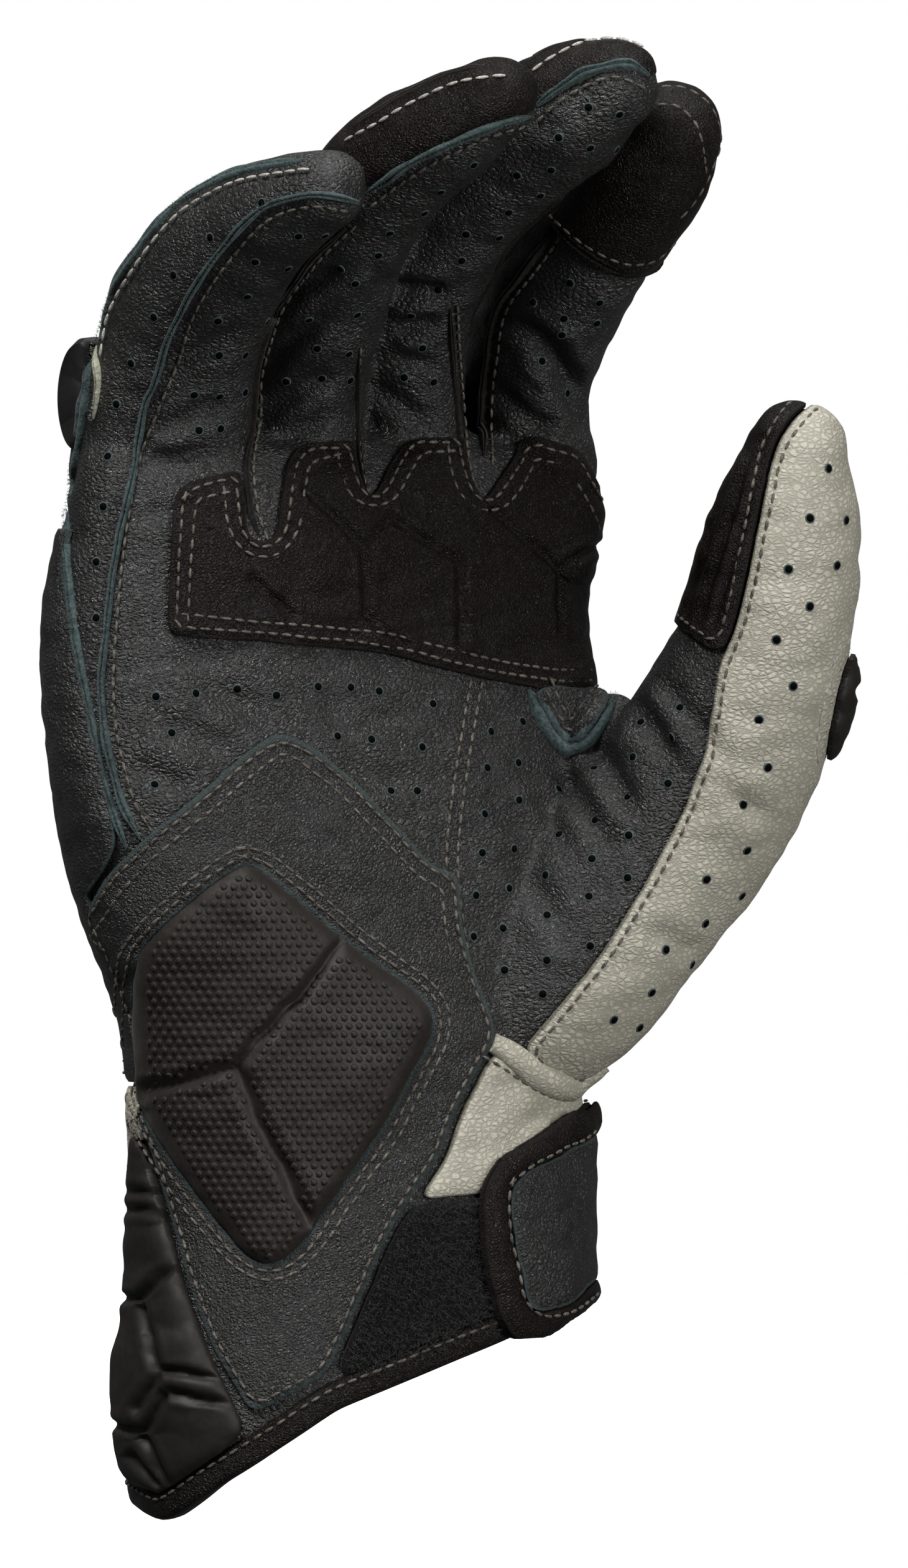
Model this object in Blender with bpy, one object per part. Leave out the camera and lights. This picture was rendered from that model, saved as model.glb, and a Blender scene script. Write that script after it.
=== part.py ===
"""Right-hand short-cuff motorcycle glove, held in its worn form, as separate hollow leather pieces.

Metres, +Z up through the fingers, the palm towards -Y and the thumb towards +X. The origin is the
centre of the wrist opening. The front view is drawn on a drafting grid: its squares across, up and
deep follow the glove's width, length and depth, so the tables below hold shares of those sizes.
"""

import math
from collections import namedtuple

import bmesh
import bpy
import numpy as np
from mathutils import Vector

# Overall sizes
GLOVE_WIDTH = 0.1422
GLOVE_LENGTH = 0.2566
GLOVE_DEPTH = 0.1080
PALM_BREADTH = 0.1060
PALM_THICKNESS = 0.0440
FINGER_WIDTH = 0.0210
THUMB_WIDTH = 0.0330

# Leather, rubber and padding
LEATHER_WALL = 0.0016
PANEL_THICKNESS = 0.0012
PAD_THICKNESS = 0.0026
RUBBER_THICKNESS = 0.0028
STRAP_THICKNESS = 0.0014
GUARD_THICKNESS = 0.0030
GAP = 0.0003
STRAP_EDGE_THICKNESS = 0.0016
STRAP_INSET_THICKNESS = 0.0008
BINDING_HEIGHT = 0.0050
BINDING_LIP = 0.0020
KNUCKLE_RADIUS = 0.0105
KNUCKLE_DEPTH = 0.0115
KNUCKLE_SETBACK = 0.0055
HEM_SLOPE = 0.10
WRAP = 0.0020
WELD = 0.000002
FORM_FOOT = -0.0432
GAUNTLET_WRAP = 0.0080

# Squares of the drafting grid over the glove's width, length and depth
GRID_ACROSS = 131.7
GRID_UP = 237.6
GRID_DEEP = 100.0

# Facets flatter than this angle, in degrees, become one
FLAT_ANGLE = 1.2
CREASE_ANGLE = 40.0
# Share of the first ring's step that a stall's hollow runs out below it
CORE_REACH = 0.5

BODY_SIDES = 28
FINGER_SIDES = 12
PALM_ROUNDNESS = 2.3
BODY_STEP = 0.0180
FINGER_STEP = 0.0175
TIP_RINGS = 2

# Lifts of the layers sewn over the shell
SKIN_LIFT = GAP
SECOND_LIFT = SKIN_LIFT + PANEL_THICKNESS + GAP
STRAP_TOP_LIFT = SECOND_LIFT + STRAP_THICKNESS + GAP

Section = namedtuple("Section", "up across deep wide thick turn")
# The palm and cuff, from below the hem to the knuckles. Wide is a share of half the palm's breadth,
# thick of half its thickness, and turn is the palm's turn towards the thumb in degrees.
BODY_SECTIONS = [
    Section(-24.0, -1.0, 0.0, 0.680, 1.20, 22.0),
    Section(-0.3, -2.7, 0.0, 0.725, 1.20, 22.0),
    Section(15.2, -1.6, 0.0, 0.712, 1.18, 22.0),
    Section(40.9, -1.9, 0.0, 0.728, 1.14, 24.0),
    Section(53.0, -1.5, 0.0, 0.752, 1.12, 25.5),
    Section(63.0, -1.6, 0.0, 0.812, 1.09, 27.0),
    Section(74.2, -2.4, 0.0, 0.905, 1.07, 28.5),
    Section(88.0, -3.7, 0.0, 0.972, 1.05, 30.0),
    Section(103.0, -5.5, 0.0, 0.985, 1.00, 30.0),
    Section(120.1, -7.5, 0.0, 0.968, 0.96, 30.0),
    Section(139.2, -6.4, -1.0, 0.935, 0.87, 30.0),
    Section(146.2, -5.9, -2.0, 0.920, 0.74, 30.0),
    Section(150.5, -5.8, -3.0, 0.885, 0.54, 30.0),
    Section(153.0, -5.8, -4.0, 0.800, 0.32, 30.0),
]
# The middle surface runs on past the knuckles to this height.
HALF_TOP = Section(240.0, -5.8, -4.0, 0.800, 0.32, 30.0)

Ring = namedtuple("Ring", "across up deep wide thick")
# The finger stalls' centre lines. Wide and thick are shares of half the finger's width, measured
# across the line in the front view and along the depth.
FINGER_RINGS = {
    "little_finger": [
        Ring(-32.3, 131.0, -13.5, 1.38, 1.02),
        Ring(-32.6, 140.0, -15.0, 1.45, 1.08),
        Ring(-31.7, 153.0, -18.0, 1.43, 1.10),
        Ring(-29.3, 166.0, -23.5, 1.33, 1.10),
        Ring(-25.4, 176.2, -31.0, 1.24, 1.08),
        Ring(-18.2, 184.3, -40.0, 1.03, 1.03),
        Ring(-12.6, 187.8, -47.0, 0.88, 0.93),
        Ring(-6.4, 190.6, -53.0, 0.68, 0.76),
    ],
    "ring_finger": [
        Ring(-8.0, 131.0, -4.0, 1.00, 0.97),
        Ring(-8.8, 140.0, -4.5, 1.00, 1.00),
        Ring(-9.3, 153.0, -7.0, 0.97, 1.00),
        Ring(-8.8, 163.0, -11.0, 0.97, 1.00),
        Ring(-6.6, 173.0, -18.0, 1.00, 1.03),
        Ring(-2.3, 184.0, -27.0, 1.03, 1.05),
        Ring(5.5, 194.8, -38.0, 1.01, 1.05),
        Ring(14.2, 200.8, -46.0, 0.90, 1.00),
        Ring(20.4, 204.6, -50.5, 0.70, 0.80),
    ],
    "middle_finger": [
        Ring(9.0, 131.0, 5.0, 0.98, 0.97),
        Ring(8.4, 140.0, 5.5, 0.97, 1.00),
        Ring(7.4, 153.0, 4.0, 0.93, 1.00),
        Ring(7.0, 163.0, 0.5, 0.93, 1.00),
        Ring(8.4, 173.0, -5.0, 0.94, 1.03),
        Ring(12.0, 182.5, -12.0, 1.00, 1.05),
        Ring(18.0, 191.8, -19.0, 1.06, 1.05),
        Ring(26.0, 199.6, -25.5, 1.10, 1.05),
        Ring(34.2, 205.0, -31.0, 1.05, 1.02),
        Ring(40.3, 208.2, -35.0, 0.78, 0.84),
    ],
    "index_finger": [
        Ring(26.5, 131.0, 13.0, 0.98, 0.97),
        Ring(27.2, 140.0, 14.5, 1.00, 0.98),
        Ring(27.7, 149.0, 14.5, 0.99, 1.00),
        Ring(27.5, 159.0, 12.5, 0.90, 1.00),
        Ring(29.5, 168.0, 8.0, 0.97, 1.01),
        Ring(33.7, 177.5, 1.0, 0.97, 1.01),
        Ring(40.0, 187.5, -7.0, 0.98, 1.01),
        Ring(46.0, 196.2, -13.5, 1.00, 0.99),
        Ring(50.0, 202.0, -17.5, 0.84, 0.86),
    ],
}
# The thumb's centre line, with shares of half the thumb's width
THUMB_RINGS = [
    Ring(18.0, 56.0, 2.0, 0.80, 0.82),
    Ring(29.5, 66.0, 2.0, 1.05, 0.95),
    Ring(41.5, 79.0, 3.0, 1.10, 0.99),
    Ring(52.0, 93.5, 3.0, 1.10, 0.99),
    Ring(60.2, 109.0, 0.0, 1.02, 0.96),
    Ring(64.6, 122.0, -3.0, 0.88, 0.90),
    Ring(66.6, 133.0, -5.0, 0.78, 0.83),
    Ring(67.9, 143.0, -7.0, 0.67, 0.73),
    Ring(68.8, 151.0, -8.5, 0.50, 0.58),
]

# Outlines in the front view, as (across, up) in grid squares
HEM = [
    (-60.0, -19.0), (-38.0, -19.4), (-31.5, -21.0), (-24.0, -14.8), (-5.0, -2.2), (14.6, 4.9),
    (60.0, 20.0),
]
PALM_PATCH = [
    (-30.1, 143.2), (-28.4, 144.9), (-19.5, 146.9), (-18.7, 136.3), (-16.1, 135.1), (-14.1, 135.7),
    (-12.3, 148.9), (-9.5, 151.2), (-1.7, 152.3), (-1.1, 145.5), (1.1, 142.0), (4.3, 148.3),
    (7.2, 152.3), (15.8, 152.9), (16.4, 146.6), (18.7, 141.7), (23.2, 148.3), (26.1, 153.2),
    (34.2, 151.2), (40.0, 139.7), (40.0, 112.0), (29.5, 112.0), (20.4, 113.6), (11.8, 115.6),
    (3.2, 117.9), (-8.3, 119.0), (-31.3, 120.8),
]
HEEL_OVERLAY = [
    (-46.0, 67.4), (-46.0, 73.4), (-43.1, 77.5), (-40.1, 82.8), (-33.4, 89.5), (-26.7, 94.9),
    (-20.0, 100.9), (-15.3, 104.6), (-13.3, 105.3), (-10.0, 103.9), (-6.6, 101.6), (0.1, 95.5),
    (6.8, 88.2), (10.8, 83.5), (14.8, 82.8), (15.5, 73.4), (17.5, 66.1), (20.2, 59.4), (20.8, 56.0),
    (18.4, 52.4), (14.6, 45.5), (11.8, 37.5), (6.6, 30.0), (3.2, 24.3), (0.3, 17.4), (-2.6, 10.5),
    (-6.0, 3.0), (-17.6, -3.2), (-23.8, 7.6), (-27.3, 17.4), (-30.1, 28.3), (-33.0, 38.1),
    (-36.2, 45.5), (-40.0, 51.3), (-46.0, 51.3),
]
GRIPPER_PAD = [
    (-19.0, 84.8), (-24.9, 80.8), (-31.7, 74.9), (-35.2, 70.7), (-35.8, 67.7), (-36.2, 55.1),
    (-36.4, 48.4), (-33.0, 42.1), (-29.0, 35.8), (-23.8, 28.3), (-19.2, 22.6), (-16.4, 20.3),
    (-14.1, 20.0), (-10.6, 22.6), (-7.2, 27.2), (-2.6, 34.1), (3.2, 42.7), (7.8, 51.9),
    (10.0, 55.1), (10.8, 58.1), (10.4, 61.4), (7.5, 64.4), (2.0, 68.2), (-3.9, 72.8),
    (-10.6, 78.7), (-17.4, 84.2),
]
CROTCH_TAB = [(27.2, 110.9), (34.1, 103.3), (42.0, 111.4)]
CUFF_FRONT = [
    (21.5, 55.0), (24.0, 53.0), (27.2, 49.9), (32.2, 48.6), (60.0, 48.6), (60.0, 10.0), (33.0, 10.0),
    (30.2, 31.2), (19.0, 31.6), (8.6, 30.7), (13.0, 37.2), (15.6, 45.1), (19.2, 52.0), (21.3, 54.8),
]
CUFF_BACK = [(-60.0, 48.6), (60.0, 48.6), (60.0, -30.0), (-60.0, -30.0)]
CUFF_SLIVER = [
    (-60.0, 50.6), (-40.9, 50.6), (-37.1, 44.8), (-36.5, 41.0), (-38.0, 23.4), (-60.0, 22.6),
]
LOOP_FIELD = [
    (7.8, 30.0), (19.0, 31.0), (29.4, 30.4), (32.0, 12.6), (21.5, 8.8), (8.9, 5.0), (0.0, 1.6),
    (-4.4, 3.4), (-1.5, 10.5), (1.4, 17.4), (4.3, 24.3),
]
STRAP_FRONT = [
    (19.3, 35.6), (18.1, 33.1), (17.5, 29.8), (18.1, 21.5), (19.7, 13.2), (21.8, 7.9), (26.4, 8.1),
    (31.4, 11.2), (36.7, 17.0), (60.0, 20.0), (60.0, 48.5), (35.9, 47.7), (33.8, 45.2),
    (28.0, 41.4), (22.2, 38.1),
]
STRAP_INSET = [
    (21.4, 33.1), (21.8, 25.7), (23.9, 14.1), (24.7, 12.2), (31.0, 14.6), (35.5, 19.0), (60.0, 22.6),
    (60.0, 45.4), (35.9, 41.4), (31.3, 39.0),
]
STRAP_BACK = [(-22.0, 43.0), (-22.0, 15.5), (60.0, 20.0), (60.0, 48.5)]
GAUNTLET = [
    (-35.8, 41.5), (-37.2, 23.0), (-60.0, 22.0), (-60.0, -30.0), (-28.6, -15.5), (-18.6, -5.7),
    (-24.6, 7.2), (-28.1, 17.0), (-30.9, 27.9), (-33.8, 37.7),
]
BACK_STRIP = [
    (-60.0, 137.6), (-48.3, 137.6), (-47.5, 134.0), (-46.2, 123.9), (-44.9, 115.6), (-42.4, 105.4),
    (-40.5, 96.5), (-38.8, 87.8), (-41.0, 83.4), (-44.2, 78.2), (-47.2, 74.2), (-60.0, 74.2),
]
BACK_FIELD = [
    (-60.0, 137.6), (-30.0, 137.6), (30.0, 137.6), (32.5, 116.0), (30.0, 90.0), (22.0, 60.0),
    (14.0, 49.4), (-60.0, 49.4),
]
THUMB_OUTER = [
    (74.6, 160.5), (73.0, 157.9), (69.4, 155.4), (67.2, 152.3), (65.7, 148.3), (64.5, 142.9),
    (62.7, 134.0), (61.0, 125.9), (59.6, 120.6), (57.4, 116.6), (56.5, 111.2), (55.2, 103.6),
    (51.7, 93.5), (47.2, 85.1), (44.5, 80.1), (38.3, 70.3), (33.8, 64.5), (25.3, 54.6),
    (28.0, 51.2), (32.2, 49.4), (95.0, 49.4), (95.0, 160.5),
]
THUMB_TIP = [
    (50.0, 122.6), (53.8, 120.1), (56.3, 118.2), (57.6, 117.6), (59.1, 120.7), (60.5, 126.0),
    (62.2, 134.1), (64.0, 143.0), (65.2, 148.5), (66.7, 152.6), (69.0, 155.9), (72.6, 158.3),
    (74.2, 160.9), (74.2, 166.0), (50.0, 166.0),
]
THUMB_GUARD = [
    (95.0, 121.0), (77.9, 120.1), (76.1, 117.5), (74.8, 112.6), (73.5, 105.9), (72.6, 100.1),
    (76.4, 102.1), (95.0, 104.0),
]
INDEX_CAP = [
    (31.0, 186.0), (34.5, 182.0), (38.5, 179.5), (42.5, 178.3), (46.0, 179.0), (48.5, 181.5),
    (75.0, 190.0), (75.0, 230.0), (20.0, 230.0),
]
KNUCKLE_FIELD = [(-60.0, 120.0), (60.0, 120.0), (60.0, 180.0), (-60.0, 180.0)]
# The hard guard's line over the knuckles, as (across, up, deep) in grid squares
KNUCKLE_LINE = [
    (-41.5, 158.5, -25.2), (-31.0, 158.5, -20.0), (-9.0, 157.5, -8.5), (7.0, 156.0, 1.5),
    (24.0, 154.0, 11.5), (28.0, 153.0, 13.5),
]

COLOURS = {
    "charcoal_leather": (0.062, 0.065, 0.070, 0.62),
    "greige_leather": (0.380, 0.370, 0.310, 0.55),
    "black_leather": (0.018, 0.015, 0.013, 0.50),
    "black_rubber": (0.020, 0.019, 0.019, 0.45),
    "pad_rubber": (0.032, 0.026, 0.022, 0.60),
    "loop_fabric": (0.006, 0.006, 0.006, 0.95),
    "guard_shell": (0.012, 0.012, 0.013, 0.35),
}


def across(squares: float) -> float:
    """Length across the front view."""
    return squares * GLOVE_WIDTH / GRID_ACROSS


def up(squares: float) -> float:
    """Height above the wrist's centre."""
    return squares * GLOVE_LENGTH / GRID_UP


def deep(squares: float) -> float:
    """Depth behind the wrist's centre."""
    return squares * GLOVE_DEPTH / GRID_DEEP


def clear_scene() -> None:
    """Removes every object of the scene."""
    for thing in list(bpy.data.objects):
        bpy.data.objects.remove(thing, do_unlink=True)


def spline(rows: np.ndarray, step: float, axes: slice) -> np.ndarray:
    """Rows between the table's rows, on a smooth curve, about one step of length apart."""
    padded = np.vstack([2.0 * rows[0] - rows[1], rows, 2.0 * rows[-1] - rows[-2]])
    out = []
    for k in range(1, len(padded) - 2):
        before, here, after, beyond = padded[k - 1 : k + 3]
        count = max(1, int(round(np.linalg.norm((after - here)[axes]) / step)))
        for t in np.arange(count) / count:
            out.append(
                0.5 * (
                    2.0 * here
                    + (after - before) * t
                    + (2.0 * before - 5.0 * here + 4.0 * after - beyond) * t**2
                    + (3.0 * here - before - 3.0 * after + beyond) * t**3
                )
            )
    out.append(rows[-1])
    return np.array(out)


def oval(sides: int, roundness: float) -> np.ndarray:
    """Unit superellipse points, anticlockwise."""
    angles = np.arange(sides) * 2.0 * math.pi / sides
    cosines, sines = np.cos(angles), np.sin(angles)
    power = 2.0 / roundness
    x = np.sign(cosines) * np.abs(cosines) ** power
    y = np.sign(sines) * np.abs(sines) ** power
    return np.column_stack([x, y])


def solid(name: str, rings: list) -> bpy.types.Object:
    """Closed solid through rings of points, each ring anticlockwise as seen from the last ring's end."""
    sides = len(rings[0])
    points = [tuple(p) for ring in rings for p in ring]
    faces = [tuple(reversed(range(sides)))]
    for k in range(len(rings) - 1):
        low, high = k * sides, (k + 1) * sides
        for i in range(sides):
            j = (i + 1) % sides
            faces.append((low + i, low + j, high + j))
            faces.append((low + i, high + j, high + i))
    faces.append(tuple(range((len(rings) - 1) * sides, len(rings) * sides)))
    mesh = bpy.data.meshes.new(name)
    mesh.from_pydata(points, [], faces)
    piece = bpy.data.objects.new(name, mesh)
    bpy.context.scene.collection.objects.link(piece)
    return piece


def body(grow: float, low: float = None) -> bpy.types.Object:
    """Palm and cuff form, grown by a length; its lower end reaches to `low` where that is given."""
    table = np.array(
        [
            (up(s.up), across(s.across), deep(s.deep), s.wide * PALM_BREADTH / 2.0,
             s.thick * PALM_THICKNESS / 2.0, math.radians(s.turn))
            for s in BODY_SECTIONS
        ]
    )
    unit = oval(BODY_SIDES, PALM_ROUNDNESS)
    rings = []
    rows = spline(table, BODY_STEP, slice(0, 3))
    rows[-1, 0] += grow
    rows[0, 0] = rows[0, 0] - grow if low is None else low
    for height, x, y, wide, thick, turn in rows:
        a, b = (wide + grow) * unit[:, 0], (thick + grow) * unit[:, 1]
        ring_x = x + a * math.cos(turn) - b * math.sin(turn)
        ring_y = y + a * math.sin(turn) + b * math.cos(turn)
        rings.append(np.column_stack([ring_x, ring_y, np.full(len(unit), height)]))
    return solid("body_form", rings)


def stall(table: list, width: float, grow: float) -> bpy.types.Object:
    """Closed finger form along a table of rings, grown by a length, with a domed tip."""
    rows = np.array(
        [
            (across(r.across), deep(r.deep), up(r.up), r.wide * width / 2.0, r.thick * width / 2.0)
            for r in table
        ]
    )
    rows = spline(rows, FINGER_STEP, slice(0, 3))
    unit = oval(FINGER_SIDES, 2.0)
    tangents = np.gradient(rows[:, :3], axis=0)
    tangents /= np.linalg.norm(tangents, axis=1)[:, None]
    rings = []
    for row, tangent in zip(rows, tangents):
        rings.append(stall_ring(row[:3], tangent, row[3] + grow, row[4] + grow, unit))
    last, tangent = rows[-1], tangents[-1]
    reach = (last[3] + last[4]) / 2.0 + grow
    for k in range(1, TIP_RINGS + 1):
        angle = k / (TIP_RINGS + 0.5) * math.pi / 2.0
        centre = last[:3] + tangent * reach * math.sin(angle)
        shrink = math.cos(angle)
        rings.append(
            stall_ring(centre, tangent, (last[3] + grow) * shrink, (last[4] + grow) * shrink, unit)
        )
    return solid("stall_form", rings)


def stall_ring(centre, tangent, wide: float, thick: float, unit: np.ndarray) -> np.ndarray:
    """Oval ring square to a tangent, wide across it in the front view and thick along the depth."""
    side = np.cross(np.array([0.0, 1.0, 0.0]), tangent)
    side /= np.linalg.norm(side)
    depth = np.cross(tangent, side)
    return centre + np.outer(unit[:, 0] * wide, side) + np.outer(unit[:, 1] * thick, depth)


def middle_depth(x: float, z: float) -> float:
    """Depth of the hand's middle plane behind a point of the front view."""
    table = BODY_SECTIONS
    heights = [up(s.up) for s in table]
    centre = np.interp(z, heights, [across(s.across) for s in table])
    back = np.interp(z, heights, [deep(s.deep) for s in table])
    turn = math.radians(np.interp(z, heights, [s.turn for s in table]))
    return back + (x - centre) * math.tan(turn)


def grown(points: list, grow: float) -> list:
    """Anticlockwise outline moved outwards by a length along its corners' bisectors."""
    out = []
    for k, here in enumerate(points):
        before, after = points[k - 1], points[(k + 1) % len(points)]
        one, two = (here - before).normalized(), (after - here).normalized()
        normal = Vector((one.y + two.y, -one.x - two.x)).normalized()
        spread = max(0.5, math.sqrt(max(0.0, (1.0 + one.dot(two)) / 2.0)))
        out.append(here + normal * grow / spread)
    return out


def anticlockwise(points: list) -> list:
    """Outline turned to run anticlockwise."""
    area = sum(a.x * b.y - b.x * a.y for a, b in zip(points, points[1:] + points[:1]))
    return points[::-1] if area < 0.0 else points


def prism(outline: list, near: float = None, past: float = None, grow: float = 0.0):
    """Solid behind an outline of the front view.

    It runs through the whole glove, or starts `near` or ends `past` the hand's middle surface.
    """
    points = anticlockwise([Vector((across(x), up(z))) for x, z in outline])
    if grow:
        points = grown(points, grow)
    back = [(p.x, GLOVE_DEPTH, p.y) for p in points]
    front = [(p.x, -GLOVE_DEPTH, p.y) for p in points]
    form = solid("prism_form", [back, front])
    if past is not None:
        form = both(form, half_space(past, in_front=True))
    if near is not None:
        form = both(form, half_space(near, in_front=False))
    return form


def half_space(offset: float, in_front: bool) -> bpy.types.Object:
    """Everything in front of the hand's middle surface, or behind it, moved back by an offset."""
    reach = GLOVE_WIDTH
    rings = []
    for section in BODY_SECTIONS + [HALF_TOP]:
        z = up(section.up)
        left, right = middle_depth(-reach, z) + offset, middle_depth(reach, z) + offset
        if in_front:
            ring = [(-reach, -2.0 * reach, z), (reach, -2.0 * reach, z), (reach, right, z), (-reach, left, z)]
        else:
            ring = [(-reach, left, z), (reach, right, z), (reach, 2.0 * reach, z), (-reach, 2.0 * reach, z)]
        rings.append(ring)
    return solid("half_form", rings)


def join(first: bpy.types.Object, second: bpy.types.Object, operation: str, keep: bool = False):
    """Applies a Boolean of the second solid to the first, and removes the second unless it is kept."""
    step = first.modifiers.new("join", "BOOLEAN")
    step.operation = operation
    step.solver = "EXACT"
    step.object = second
    bpy.context.view_layer.update()
    graph = bpy.context.evaluated_depsgraph_get()
    mesh = bpy.data.meshes.new_from_object(first.evaluated_get(graph))
    first.modifiers.clear()
    old = first.data
    first.data = mesh
    bpy.data.meshes.remove(old)
    if not keep:
        bpy.data.objects.remove(second, do_unlink=True)
    return first


def minus(first, second, keep: bool = False):
    """First solid without the second."""
    return join(first, second, "DIFFERENCE", keep)


def both(first, second, keep: bool = False):
    """What two solids share."""
    return join(first, second, "INTERSECT", keep)


def plus(first, second, keep: bool = False):
    """Two solids as one."""
    return join(first, second, "UNION", keep)


def finish(piece: bpy.types.Object, name: str, colour: str) -> bpy.types.Object:
    """Names a piece, keeps its largest body and gives it its own material."""
    red, green, blue, rough = COLOURS[colour]
    piece.name = name
    piece.data.name = name
    material = bpy.data.materials.new(f"{name}_{colour}")
    material.use_nodes = True
    shader = material.node_tree.nodes["Principled BSDF"]
    shader.inputs["Base Color"].default_value = (red, green, blue, 1.0)
    shader.inputs["Roughness"].default_value = rough
    clean_body(piece)
    piece.data.materials.clear()
    piece.data.materials.append(material)
    piece.data.shade_smooth()
    piece.data.set_sharp_from_angle(angle=math.radians(CREASE_ANGLE))
    return piece


def hem_form(lift: float, top: float = None) -> bpy.types.Object:
    """Solid above the hem's line raised by a length, up to a second raise or over the whole glove.

    The line is the palm side's, and the form slopes up behind it.
    """
    line = [Vector((across(x), up(z) + lift)) for x, z in HEM]
    if top is None:
        points = line + [Vector((line[-1].x, up(GRID_UP))), Vector((line[0].x, up(GRID_UP)))]
    else:
        points = line + [Vector((p.x, p.y - lift + top)) for p in reversed(line)]
    points = anticlockwise(points)
    palm = PALM_THICKNESS / 2.0
    front = [(p.x, -GLOVE_DEPTH, p.y - HEM_SLOPE * (GLOVE_DEPTH - palm)) for p in points]
    back = [(p.x, GLOVE_DEPTH, p.y + HEM_SLOPE * (GLOVE_DEPTH + palm)) for p in points]
    return solid("hem_form", [back, front])


def fingers(grow: float) -> list:
    """The four finger forms grown by a length."""
    return [stall(table, FINGER_WIDTH, grow) for table in FINGER_RINGS.values()]


def thumb(grow: float) -> bpy.types.Object:
    """The thumb's form grown by a length."""
    return stall(THUMB_RINGS, THUMB_WIDTH, grow)


def hand_shell() -> bpy.types.Object:
    """Hollow palm and cuff, open at the hem and into each finger and the thumb."""
    shell = minus(body(0.0), body(-LEATHER_WALL, low=FORM_FOOT))
    for form in fingers(-LEATHER_WALL) + [thumb(-LEATHER_WALL)]:
        shell = minus(shell, form)
    shell = both(shell, hem_form(BINDING_LIP))
    return finish(shell, "hand_shell", "charcoal_leather")


def finger_stall(name: str) -> bpy.types.Object:
    """Hollow finger stall from its tip to the palm, where it stops a seam's gap short."""
    table = FINGER_RINGS[name]
    piece = minus(stall(table, FINGER_WIDTH, 0.0), body(GAP))
    piece = minus(piece, stall_core(table, FINGER_WIDTH))
    return finish(piece, name, "charcoal_leather")


def stall_core(table: list, width: float) -> bpy.types.Object:
    """Hollow of a stall, running out past its lower end."""
    first, second = table[0], table[1]
    below = Ring(
        first.across - CORE_REACH * (second.across - first.across),
        first.up - CORE_REACH * (second.up - first.up),
        first.deep - CORE_REACH * (second.deep - first.deep),
        first.wide,
        first.thick,
    )
    return stall([below] + table, width, -LEATHER_WALL)


def thumb_shell() -> bpy.types.Object:
    """Hollow thumb stall from its tip to the palm."""
    piece = minus(thumb(0.0), body(GAP))
    piece = minus(piece, stall_core(THUMB_RINGS, THUMB_WIDTH))
    return finish(piece, "thumb_shell", "charcoal_leather")


def panel(forms: str, region, lift=SKIN_LIFT, thickness=PANEL_THICKNESS) -> bpy.types.Object:
    """Skin of a thickness within a region, lifted off the forms that `forms` names."""
    outer, inner = [], []
    if "body" in forms:
        outer.append(body(lift + thickness))
        inner.append(body(lift))
    if "thumb" in forms:
        outer.append(thumb(lift + thickness))
        inner.append(thumb(lift))
    if "fingers" in forms:
        outer += fingers(lift + thickness)
        inner += fingers(lift)
    if "index" in forms:
        table = FINGER_RINGS["index_finger"]
        outer.append(stall(table, FINGER_WIDTH, lift + thickness))
        inner.append(stall(table, FINGER_WIDTH, lift))
    skin, core = outer[0], inner[0]
    for more_skin, more_core in zip(outer[1:], inner[1:]):
        skin = plus(skin, more_skin)
        core = plus(core, more_core)
    return both(minus(skin, core), region)


def clean_body(piece: bpy.types.Object) -> None:
    """Welds a cut piece's doubled points, keeps its main body and joins its flattest facets."""
    mesh = bmesh.new()
    mesh.from_mesh(piece.data)
    bmesh.ops.remove_doubles(mesh, verts=mesh.verts, dist=WELD)
    rims = [edge for edge in mesh.edges if edge.is_boundary]
    bmesh.ops.holes_fill(mesh, edges=rims, sides=4)
    left = set(mesh.faces)
    bodies = []
    while left:
        found, queue = set(), [left.pop()]
        while queue:
            face = queue.pop()
            found.add(face)
            for edge in face.edges:
                for other in edge.link_faces:
                    if other in left:
                        left.discard(other)
                        queue.append(other)
        bodies.append(found)
    bodies.sort(key=lambda faces: sum(face.calc_area() for face in faces))
    spare = [face for faces in bodies[:-1] for face in faces]
    bmesh.ops.delete(mesh, geom=spare, context="FACES")
    flat = math.radians(FLAT_ANGLE)
    bmesh.ops.dissolve_limit(mesh, angle_limit=flat, verts=mesh.verts[:], edges=mesh.edges[:])
    bmesh.ops.triangulate(mesh, faces=mesh.faces[:])
    mesh.to_mesh(piece.data)
    mesh.free()


def palm_panels() -> None:
    """The embossed palm patch, the crotch's tab, the heel's frame and the gripper pad in it."""
    patch = panel("body fingers", prism(PALM_PATCH, past=0.0))
    finish(minus(patch, thumb(GAP)), "palm_patch", "black_leather")
    finish(panel("body thumb", prism(CROTCH_TAB, past=0.0)), "crotch_tab", "charcoal_leather")
    region = both(prism(HEEL_OVERLAY, past=0.0), hem_form(BINDING_HEIGHT + GAP))
    region = minus(region, prism(GRIPPER_PAD, grow=GAP))
    frame = minus(panel("body", region), thumb(GAP))
    finish(frame, "heel_overlay", "charcoal_leather")
    pad = panel("body", prism(GRIPPER_PAD, past=0.0), thickness=PAD_THICKNESS)
    finish(pad, "gripper_pad", "pad_rubber")


def thumb_panels() -> None:
    """The thumb's greige outer panel, pleated tip and rubber guard."""
    outer = panel("body thumb", prism(THUMB_OUTER))
    finish(outer, "thumb_outer_panel", "greige_leather")
    tip = both(thumb(SKIN_LIFT + PANEL_THICKNESS), prism(THUMB_TIP))
    finish(minus(tip, thumb(SKIN_LIFT)), "thumb_tip_patch", "black_leather")
    guard = panel("thumb", prism(THUMB_GUARD), SECOND_LIFT, GUARD_THICKNESS)
    finish(guard, "thumb_guard", "black_rubber")


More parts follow.
